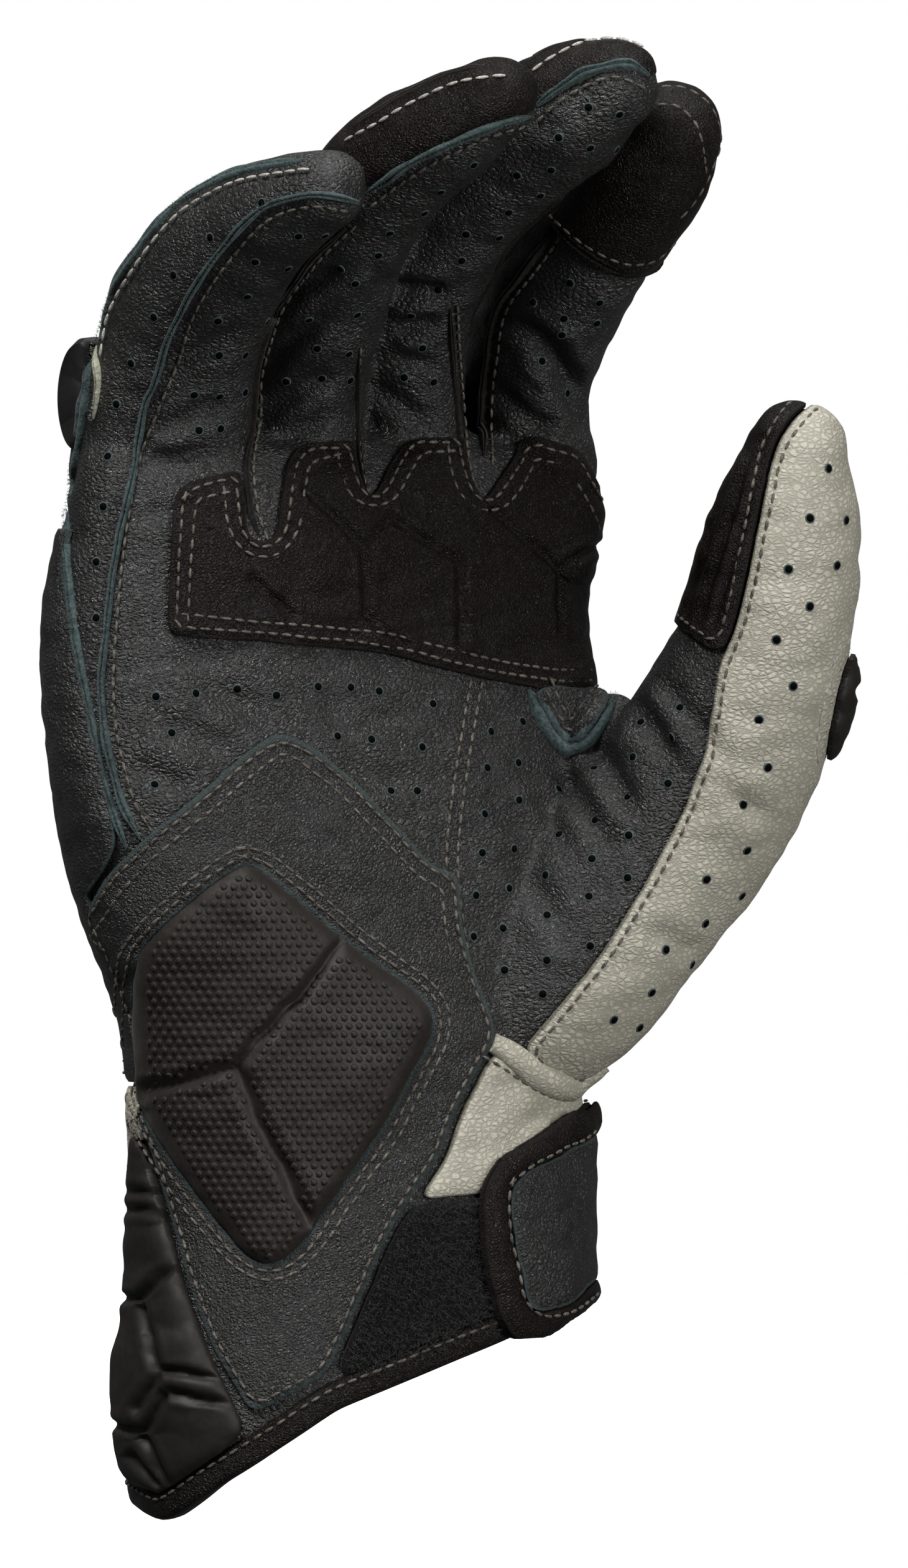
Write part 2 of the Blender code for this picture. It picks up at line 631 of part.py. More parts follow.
def cuff_panels() -> None:
    """The greige cuff, the fastener's loop field, the rubber gauntlet and the bound hem."""
    above_binding = BINDING_HEIGHT + GAP
    region = plus(prism(CUFF_BACK, near=GAP), prism(CUFF_FRONT, past=WRAP))
    region = plus(region, prism(CUFF_SLIVER, past=WRAP))
    region = minus(region, prism(GAUNTLET, past=GAUNTLET_WRAP + GAP, grow=GAP))
    region = both(region, hem_form(above_binding))
    finish(panel("body", region), "cuff_panel", "greige_leather")
    region = both(prism(LOOP_FIELD, past=0.0), hem_form(above_binding))
    finish(panel("body", region), "loop_panel", "loop_fabric")
    region = both(prism(GAUNTLET, past=GAUNTLET_WRAP), hem_form(above_binding))
    rubber = panel("body", region, thickness=RUBBER_THICKNESS)
    finish(rubber, "gauntlet_panel", "black_rubber")
    inside = -LEATHER_WALL - GAP
    binding = both(body(GAP + PANEL_THICKNESS, FORM_FOOT), hem_form(0.0, BINDING_HEIGHT))
    binding = minus(binding, body(inside - PANEL_THICKNESS, FORM_FOOT))
    groove = minus(body(GAP, FORM_FOOT), body(inside, FORM_FOOT))
    groove = both(groove, hem_form(BINDING_LIP - GAP))
    finish(minus(binding, groove), "hem_binding", "black_leather")


def strap() -> None:
    """The wrist strap with its edging and inset, closed over the loop field and round the back."""
    region = plus(prism(STRAP_FRONT, past=WRAP), prism(STRAP_BACK, near=0.0))
    band = panel("body", region, SECOND_LIFT, STRAP_THICKNESS)
    finish(band, "wrist_strap", "black_leather")
    region = minus(prism(STRAP_FRONT), prism(STRAP_INSET, grow=GAP))
    region = both(region, half_space(0.0, in_front=True))
    edge = panel("body", region, STRAP_TOP_LIFT, STRAP_EDGE_THICKNESS)
    finish(edge, "strap_edging", "black_leather")
    inset = panel("body", prism(STRAP_INSET, past=0.0), STRAP_TOP_LIFT, STRAP_INSET_THICKNESS)
    finish(inset, "strap_inset", "charcoal_leather")


def knuckle_bar(grow: float) -> bpy.types.Object:
    """Rounded bar along the knuckles, which the guard's shell follows."""
    table = [
        Ring(x, z, y, KNUCKLE_RADIUS / KNUCKLE_DEPTH, 1.0) for x, z, y in KNUCKLE_LINE
    ]
    return stall(table, 2.0 * KNUCKLE_DEPTH, grow)


def back_pieces() -> None:
    """The leather back of the hand and the hard guard over its knuckles."""
    region = plus(prism(BACK_FIELD, near=GAP), prism(BACK_STRIP, past=WRAP))
    back = minus(panel("body", region), thumb(SECOND_LIFT))
    finish(back, "back_panel", "charcoal_leather")
    guard = minus(knuckle_bar(GUARD_THICKNESS), knuckle_bar(0.0))
    guard = both(guard, prism(KNUCKLE_FIELD, near=KNUCKLE_SETBACK))
    guard = minus(guard, body(SECOND_LIFT))
    for form in fingers(GAP):
        guard = minus(guard, form)
    finish(guard, "knuckle_guard", "guard_shell")


def fingertip_cap() -> None:
    """The index finger's black touch cap."""
    cap = panel("index", prism(INDEX_CAP))
    cap = minus(cap, stall(FINGER_RINGS["middle_finger"], FINGER_WIDTH, GAP))
    finish(cap, "index_tip_cap", "black_leather")


def build() -> None:
    """Makes every piece of the glove."""
    clear_scene()
    hand_shell()
    for name in FINGER_RINGS:
        finger_stall(name)
    thumb_shell()
    palm_panels()
    thumb_panels()
    cuff_panels()
    strap()
    back_pieces()
    fingertip_cap()


build()
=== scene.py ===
"""Looks of a right-hand short-cuff motorcycle glove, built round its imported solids.

Metres, +Z up through the fingers, the palm towards -Y and the thumb towards +X. One smooth skin is
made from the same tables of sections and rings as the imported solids, and every leather panel is cut
from it by an outline of the front view. Those outlines are drawn on a drafting grid, whose squares
across, up and deep follow the glove's width, length and depth.
"""

import logging
import math
from collections import namedtuple
from dataclasses import dataclass, field
from enum import Enum
from typing import Callable, Dict, List, Optional, Sequence, Tuple

import bpy
import numpy as np
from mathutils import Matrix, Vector, noise
from mathutils.bvhtree import BVHTree

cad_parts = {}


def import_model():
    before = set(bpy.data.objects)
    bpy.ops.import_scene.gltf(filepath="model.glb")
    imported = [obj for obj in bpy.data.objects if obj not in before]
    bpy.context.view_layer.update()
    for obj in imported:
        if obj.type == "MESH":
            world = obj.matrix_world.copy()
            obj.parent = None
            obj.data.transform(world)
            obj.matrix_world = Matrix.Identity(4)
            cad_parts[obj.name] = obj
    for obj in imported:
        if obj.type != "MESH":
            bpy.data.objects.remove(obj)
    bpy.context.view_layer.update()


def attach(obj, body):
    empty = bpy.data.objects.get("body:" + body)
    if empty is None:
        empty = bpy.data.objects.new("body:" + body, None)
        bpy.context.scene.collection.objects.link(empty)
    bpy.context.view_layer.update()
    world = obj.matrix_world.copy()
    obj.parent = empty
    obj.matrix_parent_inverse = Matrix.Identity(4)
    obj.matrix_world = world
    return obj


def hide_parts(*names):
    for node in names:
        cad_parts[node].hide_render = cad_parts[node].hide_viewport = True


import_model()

LOG = logging.getLogger("glove")

Field = Callable[[np.ndarray], np.ndarray]
Points2 = List[Tuple[float, float]]
Colour = Tuple[float, float, float]
Pair = Tuple[np.ndarray, np.ndarray]

# Overall sizes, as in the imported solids
GLOVE_WIDTH = 0.1422
GLOVE_LENGTH = 0.2566
GLOVE_DEPTH = 0.1080
PALM_BREADTH = 0.1060
PALM_THICKNESS = 0.0440
FINGER_WIDTH = 0.0210
THUMB_WIDTH = 0.0330
LEATHER_WALL = 0.0016
PANEL_THICKNESS = 0.0012
PAD_THICKNESS = 0.0026
RUBBER_THICKNESS = 0.0028
STRAP_THICKNESS = 0.0014
GUARD_THICKNESS = 0.0030
GAP = 0.0003
STRAP_EDGE_THICKNESS = 0.0016
STRAP_INSET_THICKNESS = 0.0008
BINDING_HEIGHT = 0.0050
BINDING_LIP = 0.0020
KNUCKLE_RADIUS = 0.0105
KNUCKLE_DEPTH = 0.0115
KNUCKLE_SETBACK = 0.0055
HEM_SLOPE = 0.10
WRAP = 0.0020
GAUNTLET_WRAP = 0.0080

# Squares of the drafting grid over the glove's width, length and depth
GRID_ACROSS = 131.7
GRID_UP = 237.6
GRID_DEEP = 100.0

PALM_ROUNDNESS = 2.3
SKIN_LIFT = GAP
PANEL_TOP = SKIN_LIFT + PANEL_THICKNESS
SECOND_LIFT = PANEL_TOP + GAP
STRAP_TOP_LIFT = SECOND_LIFT + STRAP_THICKNESS + GAP

# How finely the skin is made
SKIN_VOXEL = 0.00105
FORM_STEP = 0.0020
FORM_SIDES = 72
SKIN_SMOOTHING = 6

Section = namedtuple("Section", "up across deep wide thick turn")
# The palm and cuff, from below the hem to the knuckles. Wide is a share of half the palm's breadth,
# thick of half its thickness, and turn is the palm's turn towards the thumb in degrees.
BODY_SECTIONS = [
    Section(-24.0, -1.0, 0.0, 0.706, 1.20, 22.0),
    Section(-0.3, -2.7, 0.0, 0.746, 1.20, 22.0),
    Section(15.2, -1.3, 0.0, 0.732, 1.18, 22.0),
    Section(40.9, -1.6, 0.0, 0.738, 1.14, 24.0),
    Section(53.0, -1.5, 0.0, 0.752, 1.12, 25.5),
    Section(63.0, -1.6, 0.0, 0.812, 1.09, 27.0),
    Section(74.2, -2.4, 0.0, 0.905, 1.07, 28.5),
    Section(88.0, -3.7, 0.0, 0.972, 1.05, 30.0),
    Section(103.0, -5.5, 0.0, 0.985, 1.00, 30.0),
    Section(120.1, -7.5, 0.0, 0.968, 0.96, 30.0),
    Section(139.2, -6.4, -1.0, 0.935, 0.87, 30.0),
    Section(146.2, -5.9, -2.0, 0.920, 0.74, 30.0),
    Section(150.5, -5.8, -3.0, 0.885, 0.54, 30.0),
    Section(153.0, -5.8, -4.0, 0.800, 0.32, 30.0),
]

Ring = namedtuple("Ring", "across up deep wide thick")
# The finger stalls' centre lines. Wide and thick are shares of half the finger's width, measured
# across the line in the front view and along the depth.
FINGER_RINGS = {
    "little_finger": [
        Ring(-32.3, 131.0, -13.5, 1.38, 1.02),
        Ring(-32.6, 140.0, -15.0, 1.45, 1.08),
        Ring(-31.7, 153.0, -18.0, 1.43, 1.10),
        Ring(-29.3, 166.0, -23.5, 1.33, 1.10),
        Ring(-25.4, 176.2, -31.0, 1.24, 1.08),
        Ring(-18.2, 184.3, -40.0, 1.03, 1.03),
        Ring(-12.6, 187.8, -47.0, 0.88, 0.93),
        Ring(-6.4, 190.6, -53.0, 0.68, 0.76),
    ],
    "ring_finger": [
        Ring(-8.0, 131.0, -4.0, 1.00, 0.97),
        Ring(-8.8, 140.0, -4.5, 1.00, 1.00),
        Ring(-9.3, 153.0, -7.0, 0.97, 1.00),
        Ring(-8.8, 163.0, -11.0, 0.97, 1.00),
        Ring(-6.6, 173.0, -18.0, 1.00, 1.03),
        Ring(-2.3, 184.0, -27.0, 1.03, 1.05),
        Ring(5.5, 194.8, -38.0, 1.01, 1.05),
        Ring(14.2, 200.8, -46.0, 0.90, 1.00),
        Ring(20.4, 204.6, -50.5, 0.70, 0.80),
    ],
    "middle_finger": [
        Ring(9.0, 131.0, 5.0, 0.98, 0.97),
        Ring(8.4, 140.0, 5.5, 0.97, 1.00),
        Ring(7.4, 153.0, 4.0, 0.93, 1.00),
        Ring(7.0, 163.0, 0.5, 0.93, 1.00),
        Ring(8.4, 173.0, -5.0, 0.94, 1.03),
        Ring(12.0, 182.5, -12.0, 1.00, 1.05),
        Ring(18.0, 191.8, -19.0, 1.06, 1.05),
        Ring(26.0, 199.6, -25.5, 1.10, 1.05),
        Ring(34.2, 204.8, -31.0, 1.03, 1.01),
        Ring(39.7, 207.6, -34.7, 0.74, 0.80),
    ],
    "index_finger": [
        Ring(26.5, 131.0, 13.0, 0.98, 0.97),
        Ring(27.2, 140.0, 14.5, 1.00, 0.98),
        Ring(27.7, 149.0, 14.5, 0.99, 1.00),
        Ring(27.5, 159.0, 12.5, 0.90, 1.00),
        Ring(29.5, 168.0, 8.0, 0.97, 1.01),
        Ring(33.7, 177.5, 1.0, 0.97, 1.01),
        Ring(40.0, 187.5, -7.0, 0.98, 1.01),
        Ring(45.6, 196.0, -13.5, 0.95, 0.95),
        Ring(48.9, 200.9, -17.0, 0.73, 0.76),
    ],
}
# The thumb's centre line, with shares of half the thumb's width
THUMB_RINGS = [
    Ring(18.0, 56.0, 2.0, 0.80, 0.82),
    Ring(29.5, 66.0, 2.0, 1.05, 0.95),
    Ring(41.0, 79.4, 3.0, 1.07, 0.97),
    Ring(51.5, 93.8, 3.0, 1.07, 0.97),
    Ring(59.9, 109.0, 0.0, 0.99, 0.94),
    Ring(64.7, 122.0, -3.0, 0.84, 0.87),
    Ring(67.0, 133.0, -5.0, 0.76, 0.80),
    Ring(68.5, 142.8, -7.0, 0.64, 0.69),
    Ring(69.6, 149.8, -8.3, 0.47, 0.54),
]

# The index finger's inner side, which lies in the shade of the middle finger
INDEX_WALL_RINGS = [
    Ring(26.5, 138.0, 14.5, 0.90, 0.90),
    Ring(24.8, 149.0, 17.0, 0.92, 0.92),
    Ring(24.2, 159.0, 15.5, 0.90, 0.92),
    Ring(26.0, 168.0, 11.5, 0.92, 0.92),
    Ring(30.2, 177.5, 4.5, 0.92, 0.92),
    Ring(37.0, 187.5, -4.5, 0.88, 0.88),
    Ring(43.0, 195.0, -11.0, 0.78, 0.80),
]
# The web of skin between the palm's edge and the thumb
WEB_RINGS = [
    Ring(35.0, 84.0, 12.0, 0.90, 1.30),
    Ring(36.5, 94.0, 12.0, 0.85, 1.20),
    Ring(39.0, 103.2, 10.0, 0.72, 1.00),
]

# Outlines in the front view, as (across, up) in grid squares
HEM = [
    (-60.0, -19.0), (-38.0, -19.4), (-31.5, -21.0), (-24.0, -14.8), (-5.0, -2.2), (14.6, 4.9),
    (60.0, 20.0),
]
PALM_PATCH = [
    (-30.1, 143.2), (-28.4, 144.9), (-19.5, 146.9), (-18.7, 136.3), (-16.1, 135.1), (-14.1, 135.7),
    (-12.3, 148.9), (-9.5, 151.2), (-1.7, 152.3), (-1.1, 145.5), (1.1, 142.0), (4.3, 148.3),
    (7.2, 152.3), (15.8, 152.9), (16.4, 146.6), (18.7, 141.7), (23.2, 148.3), (26.1, 153.2),
    (34.2, 151.2), (40.0, 139.7), (40.0, 112.0), (29.5, 112.0), (20.4, 113.6), (11.8, 115.6),
    (3.2, 117.9), (-8.3, 119.0), (-31.3, 120.8),
]
HEEL_OVERLAY = [
    (-46.0, 67.4), (-46.0, 73.4), (-43.1, 77.5), (-40.1, 82.8), (-33.4, 89.5), (-26.7, 94.9),
    (-20.0, 100.9), (-15.3, 104.6), (-13.3, 105.3), (-10.0, 103.9), (-6.6, 101.6), (0.1, 95.5),
    (6.8, 88.2), (10.8, 83.5), (14.8, 82.8), (15.5, 73.4), (17.5, 66.1), (20.2, 59.4), (20.8, 56.0),
    (18.4, 52.4), (14.6, 45.5), (11.8, 37.5), (6.6, 30.0), (3.2, 24.3), (0.3, 17.4), (-2.6, 10.5),
    (-6.0, 3.0), (-17.6, -3.2), (-23.8, 7.6), (-27.3, 17.4), (-30.1, 28.3), (-33.0, 38.1),
    (-36.2, 45.5), (-40.0, 51.3), (-46.0, 51.3),
]
GRIPPER_PAD = [
    (-19.0, 84.8), (-24.9, 80.8), (-31.7, 74.9), (-35.2, 70.7), (-35.8, 67.7), (-36.2, 55.1),
    (-36.4, 48.4), (-33.0, 42.1), (-29.0, 35.8), (-23.8, 28.3), (-19.2, 22.6), (-16.4, 20.3),
    (-14.1, 20.0), (-10.6, 22.6), (-7.2, 27.2), (-2.6, 34.1), (3.2, 42.7), (7.8, 51.9),
    (10.0, 55.1), (10.8, 58.1), (10.4, 61.4), (7.5, 64.4), (2.0, 68.2), (-3.9, 72.8),
    (-10.6, 78.7), (-17.4, 84.2),
]
CROTCH_EDGE = [
    (26.3, 112.2), (27.8, 109.3), (29.7, 105.7), (32.0, 103.2), (34.5, 103.2), (37.2, 105.7), (38.8, 108.2),
    (40.4, 110.4),
]
CROTCH_TAB = CROTCH_EDGE + [(38.6, 111.6), (34.0, 112.4), (30.0, 112.6)]
CUFF_FRONT = [
    (21.5, 55.0), (24.0, 53.0), (27.2, 49.9), (32.2, 48.6), (60.0, 48.6), (60.0, 10.0), (33.0, 10.0),
    (30.2, 31.2), (19.0, 31.6), (8.6, 30.7), (13.0, 37.2), (15.6, 45.1), (19.2, 52.0), (21.3, 54.8),
]
CUFF_BACK = [(-60.0, 48.6), (60.0, 48.6), (60.0, -30.0), (-60.0, -30.0)]
CUFF_SLIVER = [
    (-60.0, 50.6), (-40.9, 50.6), (-37.1, 44.8), (-36.5, 41.0), (-38.0, 23.4), (-60.0, 22.6),
]
LOOP_FIELD = [
    (7.8, 30.0), (19.0, 31.0), (29.4, 30.4), (32.0, 12.6), (21.5, 8.8), (8.9, 5.0), (0.0, 1.6),
    (-4.4, 3.4), (-1.5, 10.5), (1.4, 17.4), (4.3, 24.3),
]
STRAP_FRONT = [
    (19.3, 35.6), (18.1, 33.1), (17.5, 29.8), (18.1, 21.5), (19.7, 13.2), (21.8, 7.9), (26.4, 8.1),
    (31.4, 11.2), (36.7, 17.0), (60.0, 20.0), (60.0, 48.5), (35.9, 47.7), (33.8, 45.2),
    (28.0, 41.4), (22.2, 38.1),
]
STRAP_INSET = [
    (21.4, 33.1), (21.8, 25.7), (23.9, 14.1), (24.7, 12.2), (31.0, 14.6), (35.5, 19.0), (60.0, 22.6),
    (60.0, 45.4), (35.9, 41.4), (31.3, 39.0),
]
STRAP_BACK = [(-22.0, 43.0), (-22.0, 15.5), (60.0, 20.0), (60.0, 48.5)]
GAUNTLET = [
    (-35.8, 41.5), (-37.2, 23.0), (-60.0, 22.0), (-60.0, -30.0), (-28.6, -15.5), (-18.6, -5.7),
    (-24.6, 7.2), (-28.1, 17.0), (-30.9, 27.9), (-33.8, 37.7),
]
BACK_STRIP = [
    (-60.0, 137.6), (-48.3, 137.6), (-47.5, 134.0), (-46.2, 123.9), (-44.9, 115.6), (-42.4, 105.4),
    (-40.5, 96.5), (-38.8, 87.8), (-41.0, 83.4), (-44.2, 78.2), (-47.2, 74.2), (-60.0, 74.2),
]
BACK_FIELD = [
    (-60.0, 137.6), (-30.0, 137.6), (30.0, 137.6), (32.5, 116.0), (30.0, 90.0), (22.0, 60.0),
    (14.0, 49.4), (-60.0, 49.4),
]
THUMB_OUTER = [
    (74.6, 160.5), (73.0, 157.9), (69.4, 155.4), (67.2, 152.3), (65.7, 148.3), (64.5, 142.9),
    (62.7, 134.0), (61.0, 125.9), (59.6, 120.6), (57.4, 116.6), (56.5, 111.2), (55.2, 103.6),
    (51.7, 93.5), (47.2, 85.1), (44.5, 80.1), (38.3, 70.3), (33.8, 64.5), (25.3, 54.6),
    (28.0, 51.2), (32.2, 49.4), (95.0, 49.4), (95.0, 160.5),
]
THUMB_TIP = [
    (50.0, 122.6), (53.8, 120.1), (56.3, 118.2), (57.6, 117.6), (59.1, 120.7), (60.5, 126.0),
    (62.2, 134.1), (64.0, 143.0), (65.2, 148.5), (66.7, 152.6), (69.0, 155.9), (72.6, 158.3),
    (74.2, 160.9), (74.2, 166.0), (50.0, 166.0),
]
THUMB_GUARD = [
    (95.0, 121.0), (77.9, 120.1), (76.1, 117.5), (74.8, 112.6), (73.5, 105.9), (72.6, 100.1),
    (76.4, 102.1), (95.0, 104.0),
]
INDEX_CAP = [
    (31.0, 186.0), (34.5, 182.0), (38.5, 179.5), (42.5, 178.3), (46.0, 179.0), (48.5, 181.5),
    (75.0, 190.0), (75.0, 230.0), (20.0, 230.0),
]
KNUCKLE_FIELD = [(-60.0, 120.0), (60.0, 120.0), (60.0, 180.0), (-60.0, 180.0)]
# The hard guard's line over the knuckles, as (across, up, deep) in grid squares
KNUCKLE_LINE = [
    (-41.5, 158.5, -25.2), (-31.0, 158.5, -20.0), (-9.0, 157.5, -8.5), (7.0, 156.0, 1.5),
    (24.0, 154.0, 11.5), (28.0, 153.0, 13.5),
]

# Length within which a cut's border is moved onto a point of the skin
SNAP = 0.00006
# Length over which a panel's corners are rounded
CORNER = 0.0024
# Share of an inset by which a row may stray from it before it breaks off
INSET_SLACK = 0.2
# Rings of a finger's domed tip, with both ends
TIP_STEPS = 10
# Edge values of points far from a cut and under a sheet, and the angle above which a corner stays sharp
UNCUT = 0.01
UNDERSIDE = -0.001
SHARP_ANGLE = math.radians(58.0)
# How much of a surface round a region is kept for cutting it
CUT_MARGIN = 0.003
# Steps along a stitched row and along a raw edge, and the share of a normal that still faces the front
STITCH_STEP = 0.0010
WELT_STEP = 0.0007
FACING = -0.12

# The thumb's share of the skin, and the height in grid squares where each finger's own leather starts
THUMB_FIELD = [
    (17.7, 113.4), (13.9, 84.4), (17.1, 60.5), (19.0, 55.4), (25.0, 52.0), (28.0, 50.0), (95.0, 49.0),
    (95.0, 165.0), (48.0, 165.0), (50.0, 122.0), (40.5, 112.5),
]
FINGER_BASE = {"little_finger": 135.0, "ring_finger": 138.0, "middle_finger": 140.0, "index_finger": 140.0}

# Lines of the front view in grid squares: seams with a raw edge standing up
LITTLE_RIDGE = [
    (0.2, 188.5), (-7.3, 189.7), (-14.7, 188.1), (-19.4, 184.4), (-25.0, 177.8), (-28.7, 171.8),
    (-31.0, 167.1), (-33.1, 160.6), (-34.7, 156.9), (-36.7, 145.4), (-38.7, 136.3), (-39.9, 129.4),
    (-41.0, 119.0), (-41.6, 112.6), (-40.9, 105.0), (-39.8, 99.7), (-38.0, 93.5), (-35.4, 88.2),
]
LITTLE_STITCHES = [
    (-3.0, 187.3), (-7.6, 187.9), (-13.2, 186.6), (-18.0, 183.0), (-25.8, 173.0), (-29.6, 163.2),
    (-33.3, 154.6), (-35.6, 148.3), (-37.0, 140.9), (-38.2, 132.8), (-39.0, 124.2), (-39.6, 115.6),
    (-39.3, 107.0), (-38.0, 100.0), (-36.0, 93.5), (-33.5, 89.5),
]
OUTER_STRIP = [(-43.3, 165.6), (-44.0, 160.0), (-45.2, 152.0), (-46.5, 145.6), (-47.6, 140.2)]
PALE_STRIP = [(-42.9, 167.0), (-41.9, 162.6), (-42.2, 158.2), (-42.9, 155.2)]
OUTER_EDGE = [
    (-47.0, 140.4), (-46.9, 133.5), (-46.0, 123.9), (-44.7, 115.6), (-42.6, 105.4), (-40.7, 96.5),
    (-37.6, 86.8),
]
LITTLE_SEAM = [
    (-2.6, 185.0), (-6.8, 181.2), (-10.5, 177.2), (-13.0, 173.6), (-15.0, 169.4), (-17.0, 162.7),
    (-17.6, 155.8), (-18.6, 148.3), (-18.0, 140.9), (-16.6, 136.5),
]
LITTLE_OUTER_STITCHES = [
    (-9.0, 193.4), (-18.5, 192.0), (-25.0, 189.4), (-30.1, 185.8), (-36.2, 178.3), (-39.9, 171.8),
    (-41.2, 166.0),
]
RING_RIDGE = [
    (26.6, 202.3), (22.7, 201.5), (15.9, 198.8), (8.6, 195.4), (4.0, 192.6), (0.6, 190.4),
]
RING_SEAM = [(-0.6, 166.0), (-1.0, 160.0), (-1.0, 154.0), (-0.4, 148.0), (0.6, 143.4)]
RING_STITCHES = [(25.0, 200.6), (20.0, 199.0), (12.0, 195.3), (6.0, 191.8), (1.8, 188.7)]
RING_OUTER_STITCHES = [
    (21.5, 208.2), (15.1, 207.2), (7.8, 204.0), (2.5, 201.0), (-1.7, 198.8),
]
MIDDLE_RIDGE = [
    (45.3, 209.2), (42.8, 210.6), (40.1, 210.6), (35.3, 209.4), (31.0, 206.9), (27.6, 204.4),
]
MIDDLE_STITCHES = [(44.0, 207.4), (40.1, 208.9), (35.8, 207.7), (31.4, 205.2), (28.2, 202.4)]
MIDDLE_OUTER_STITCHES = [(43.6, 214.3), (40.0, 215.3), (35.5, 214.4), (30.0, 211.7), (26.0, 208.8)]
MIDDLE_SEAM = [
    (13.9, 173.0), (14.0, 168.0), (14.4, 162.0), (14.9, 156.0), (15.4, 150.5), (16.2, 146.0),
]
INDEX_SEAM = [
    (31.0, 186.0), (28.8, 182.8), (25.4, 178.4), (22.3, 174.6), (20.9, 171.0), (20.3, 166.5),
    (19.5, 161.5), (19.2, 154.4), (19.2, 149.5),
]
CAP_SEAM = [
    (31.0, 185.2), (34.5, 182.0), (38.5, 179.5), (42.5, 178.3), (46.0, 179.0), (48.5, 181.5),
]
CAP_FOLD = [
    (30.4, 187.4), (34.4, 183.4), (38.3, 180.8), (42.5, 179.4), (46.2, 180.2), (49.5, 183.2),
]
CAP_ROW_OUTER = [
    (46.6, 206.8), (50.5, 207.0), (54.0, 205.0), (55.6, 201.5), (56.2, 197.0), (54.6, 192.0),
    (51.4, 187.6),
]
CAP_ROW_INNER = [(46.2, 204.2), (49.5, 204.4), (52.2, 202.4), (53.4, 199.0), (53.6, 195.6)]
PALM_SEAM = [(17.9, 113.0), (15.6, 99.0), (14.1, 84.9), (15.4, 72.0), (17.3, 60.9), (19.0, 55.6)]
CUFF_ROLL = [
    (20.2, 55.6), (23.5, 53.2), (27.2, 50.2), (32.2, 48.6), (36.7, 48.9), (39.2, 51.4),
]
CUFF_ROLL_STITCHES = [(18.9, 53.2), (23.1, 50.6), (27.2, 47.7), (32.2, 46.4)]

# Sides of the fingers that are cut from black leather
RING_SIDE = [
    (27.2, 202.6), (22.7, 201.7), (15.9, 199.0), (8.6, 195.6), (4.0, 192.6), (-1.6, 189.4), (-14.0, 196.0),
    (0.0, 216.0), (30.0, 216.0),
]
MIDDLE_SIDE = [
    (46.5, 208.4), (43.2, 210.4), (40.1, 210.9), (35.3, 209.6), (31.0, 207.1), (24.0, 201.2), (16.0, 208.0),
    (30.0, 225.0), (50.0, 225.0),
]

# The index finger's inner side, in black leather that also stands in for the shade in the gap between the
# index and middle fingers
INDEX_WALL = [
    (31.4, 187.0), (28.5, 183.2), (25.0, 178.8), (21.8, 174.8), (20.3, 171.0), (19.7, 166.5), (18.9, 161.5),
    (18.6, 154.4), (18.6, 146.0), (6.0, 146.0), (6.0, 176.0), (20.0, 192.0), (29.0, 192.0),
]

# Rows of stitches on the back of the hand, the strap and the fingers
BACK_TOP_ROW = [(-44.0, 136.4), (-30.0, 136.4), (-10.0, 136.4), (10.0, 136.4), (28.0, 136.4)]
BACK_LOW_ROW = [(-38.0, 52.6), (-25.0, 52.6), (-10.0, 52.6), (5.0, 52.6), (13.0, 52.6)]
STRAP_BACK_ROW = [
    (33.0, 45.6), (15.0, 44.6), (-5.0, 43.0), (-19.0, 41.8), (-20.6, 40.0), (-20.6, 20.0), (-19.0, 17.6),
    (-5.0, 17.6), (15.0, 18.2), (33.0, 19.6),
]
FINGER_BACK_ROWS = {
    "little_finger": [(-33.0, 168.0), (-29.0, 176.0), (-24.0, 182.0), (-17.0, 187.0)],
    "ring_finger": [(-9.0, 166.0), (-7.0, 175.0), (-2.0, 186.0), (6.0, 196.0)],
    "middle_finger": [(7.0, 164.0), (9.0, 175.0), (14.0, 187.0), (22.0, 197.0)],
    "index_finger": [(29.0, 162.0), (31.0, 170.0), (36.0, 178.5), (41.0, 184.5)],
}
# The middle finger's own side behind the index finger, in black leather that also stands in for the shade in
# the gap between the two fingers
MIDDLE_WALL = [
    (15.2, 156.0), (16.0, 161.7), (17.3, 172.3), (20.0, 176.9), (23.0, 182.9), (27.5, 187.1), (31.9, 190.9),
    (42.0, 190.0), (38.0, 172.0), (30.0, 156.0),
]
# Channels between the knuckles' bosses of the hard guard
GUARD_CHANNELS = [-29.5, -13.5, 2.0, 16.5]

# Round pits in the thumb's guard
GUARD_PITS = [(77.6, 116.6), (80.4, 113.8), (76.9, 112.3), (78.6, 109.2), (75.9, 105.6), (77.4, 103.2)]

# Pressed grooves and sewn channels in grid squares
PATCH_GROOVES = [
    [(-9.5, 143.5), (-0.2, 134.8), (-0.1, 123.9), (6.0, 119.0)],
    [(-0.2, 134.8), (3.8, 139.4)],
    [(3.8, 139.4), (14.9, 132.3), (14.9, 119.8)],
    [(20.1, 140.6), (30.7, 131.7), (30.7, 121.5)],
    [(30.7, 131.7), (36.6, 135.6)],
    [(-17.9, 129.5), (-11.8, 123.9)],
]
PAD_CHANNELS = [
    [(-3.5, 72.4), (-13.6, 59.8), (-19.5, 52.6), (-32.5, 48.4)],
    [(-19.5, 52.6), (-16.4, 42.7), (-11.8, 34.1), (-8.9, 27.2)],
]
GAUNTLET_GROOVES = [
    [(-36.5, 32.0), (-32.1, 32.0)],
    [(-36.0, 29.0), (-31.2, 29.0)],
    [(-29.2, 19.6), (-33.6, 14.7), (-37.5, 14.2)],
    [(-33.1, 12.8), (-31.2, 3.6), (-22.9, 2.6)],
    [(-31.2, 2.6), (-34.1, -2.7)],
    [(-29.2, 0.2), (-21.0, -1.3)],
    [(-30.2, -0.3), (-33.1, -5.7), (-39.4, -5.2)],
    [(-33.1, -7.1), (-29.7, -14.4)],
    [(-34.6, -10.0), (-31.2, -14.4)],
]

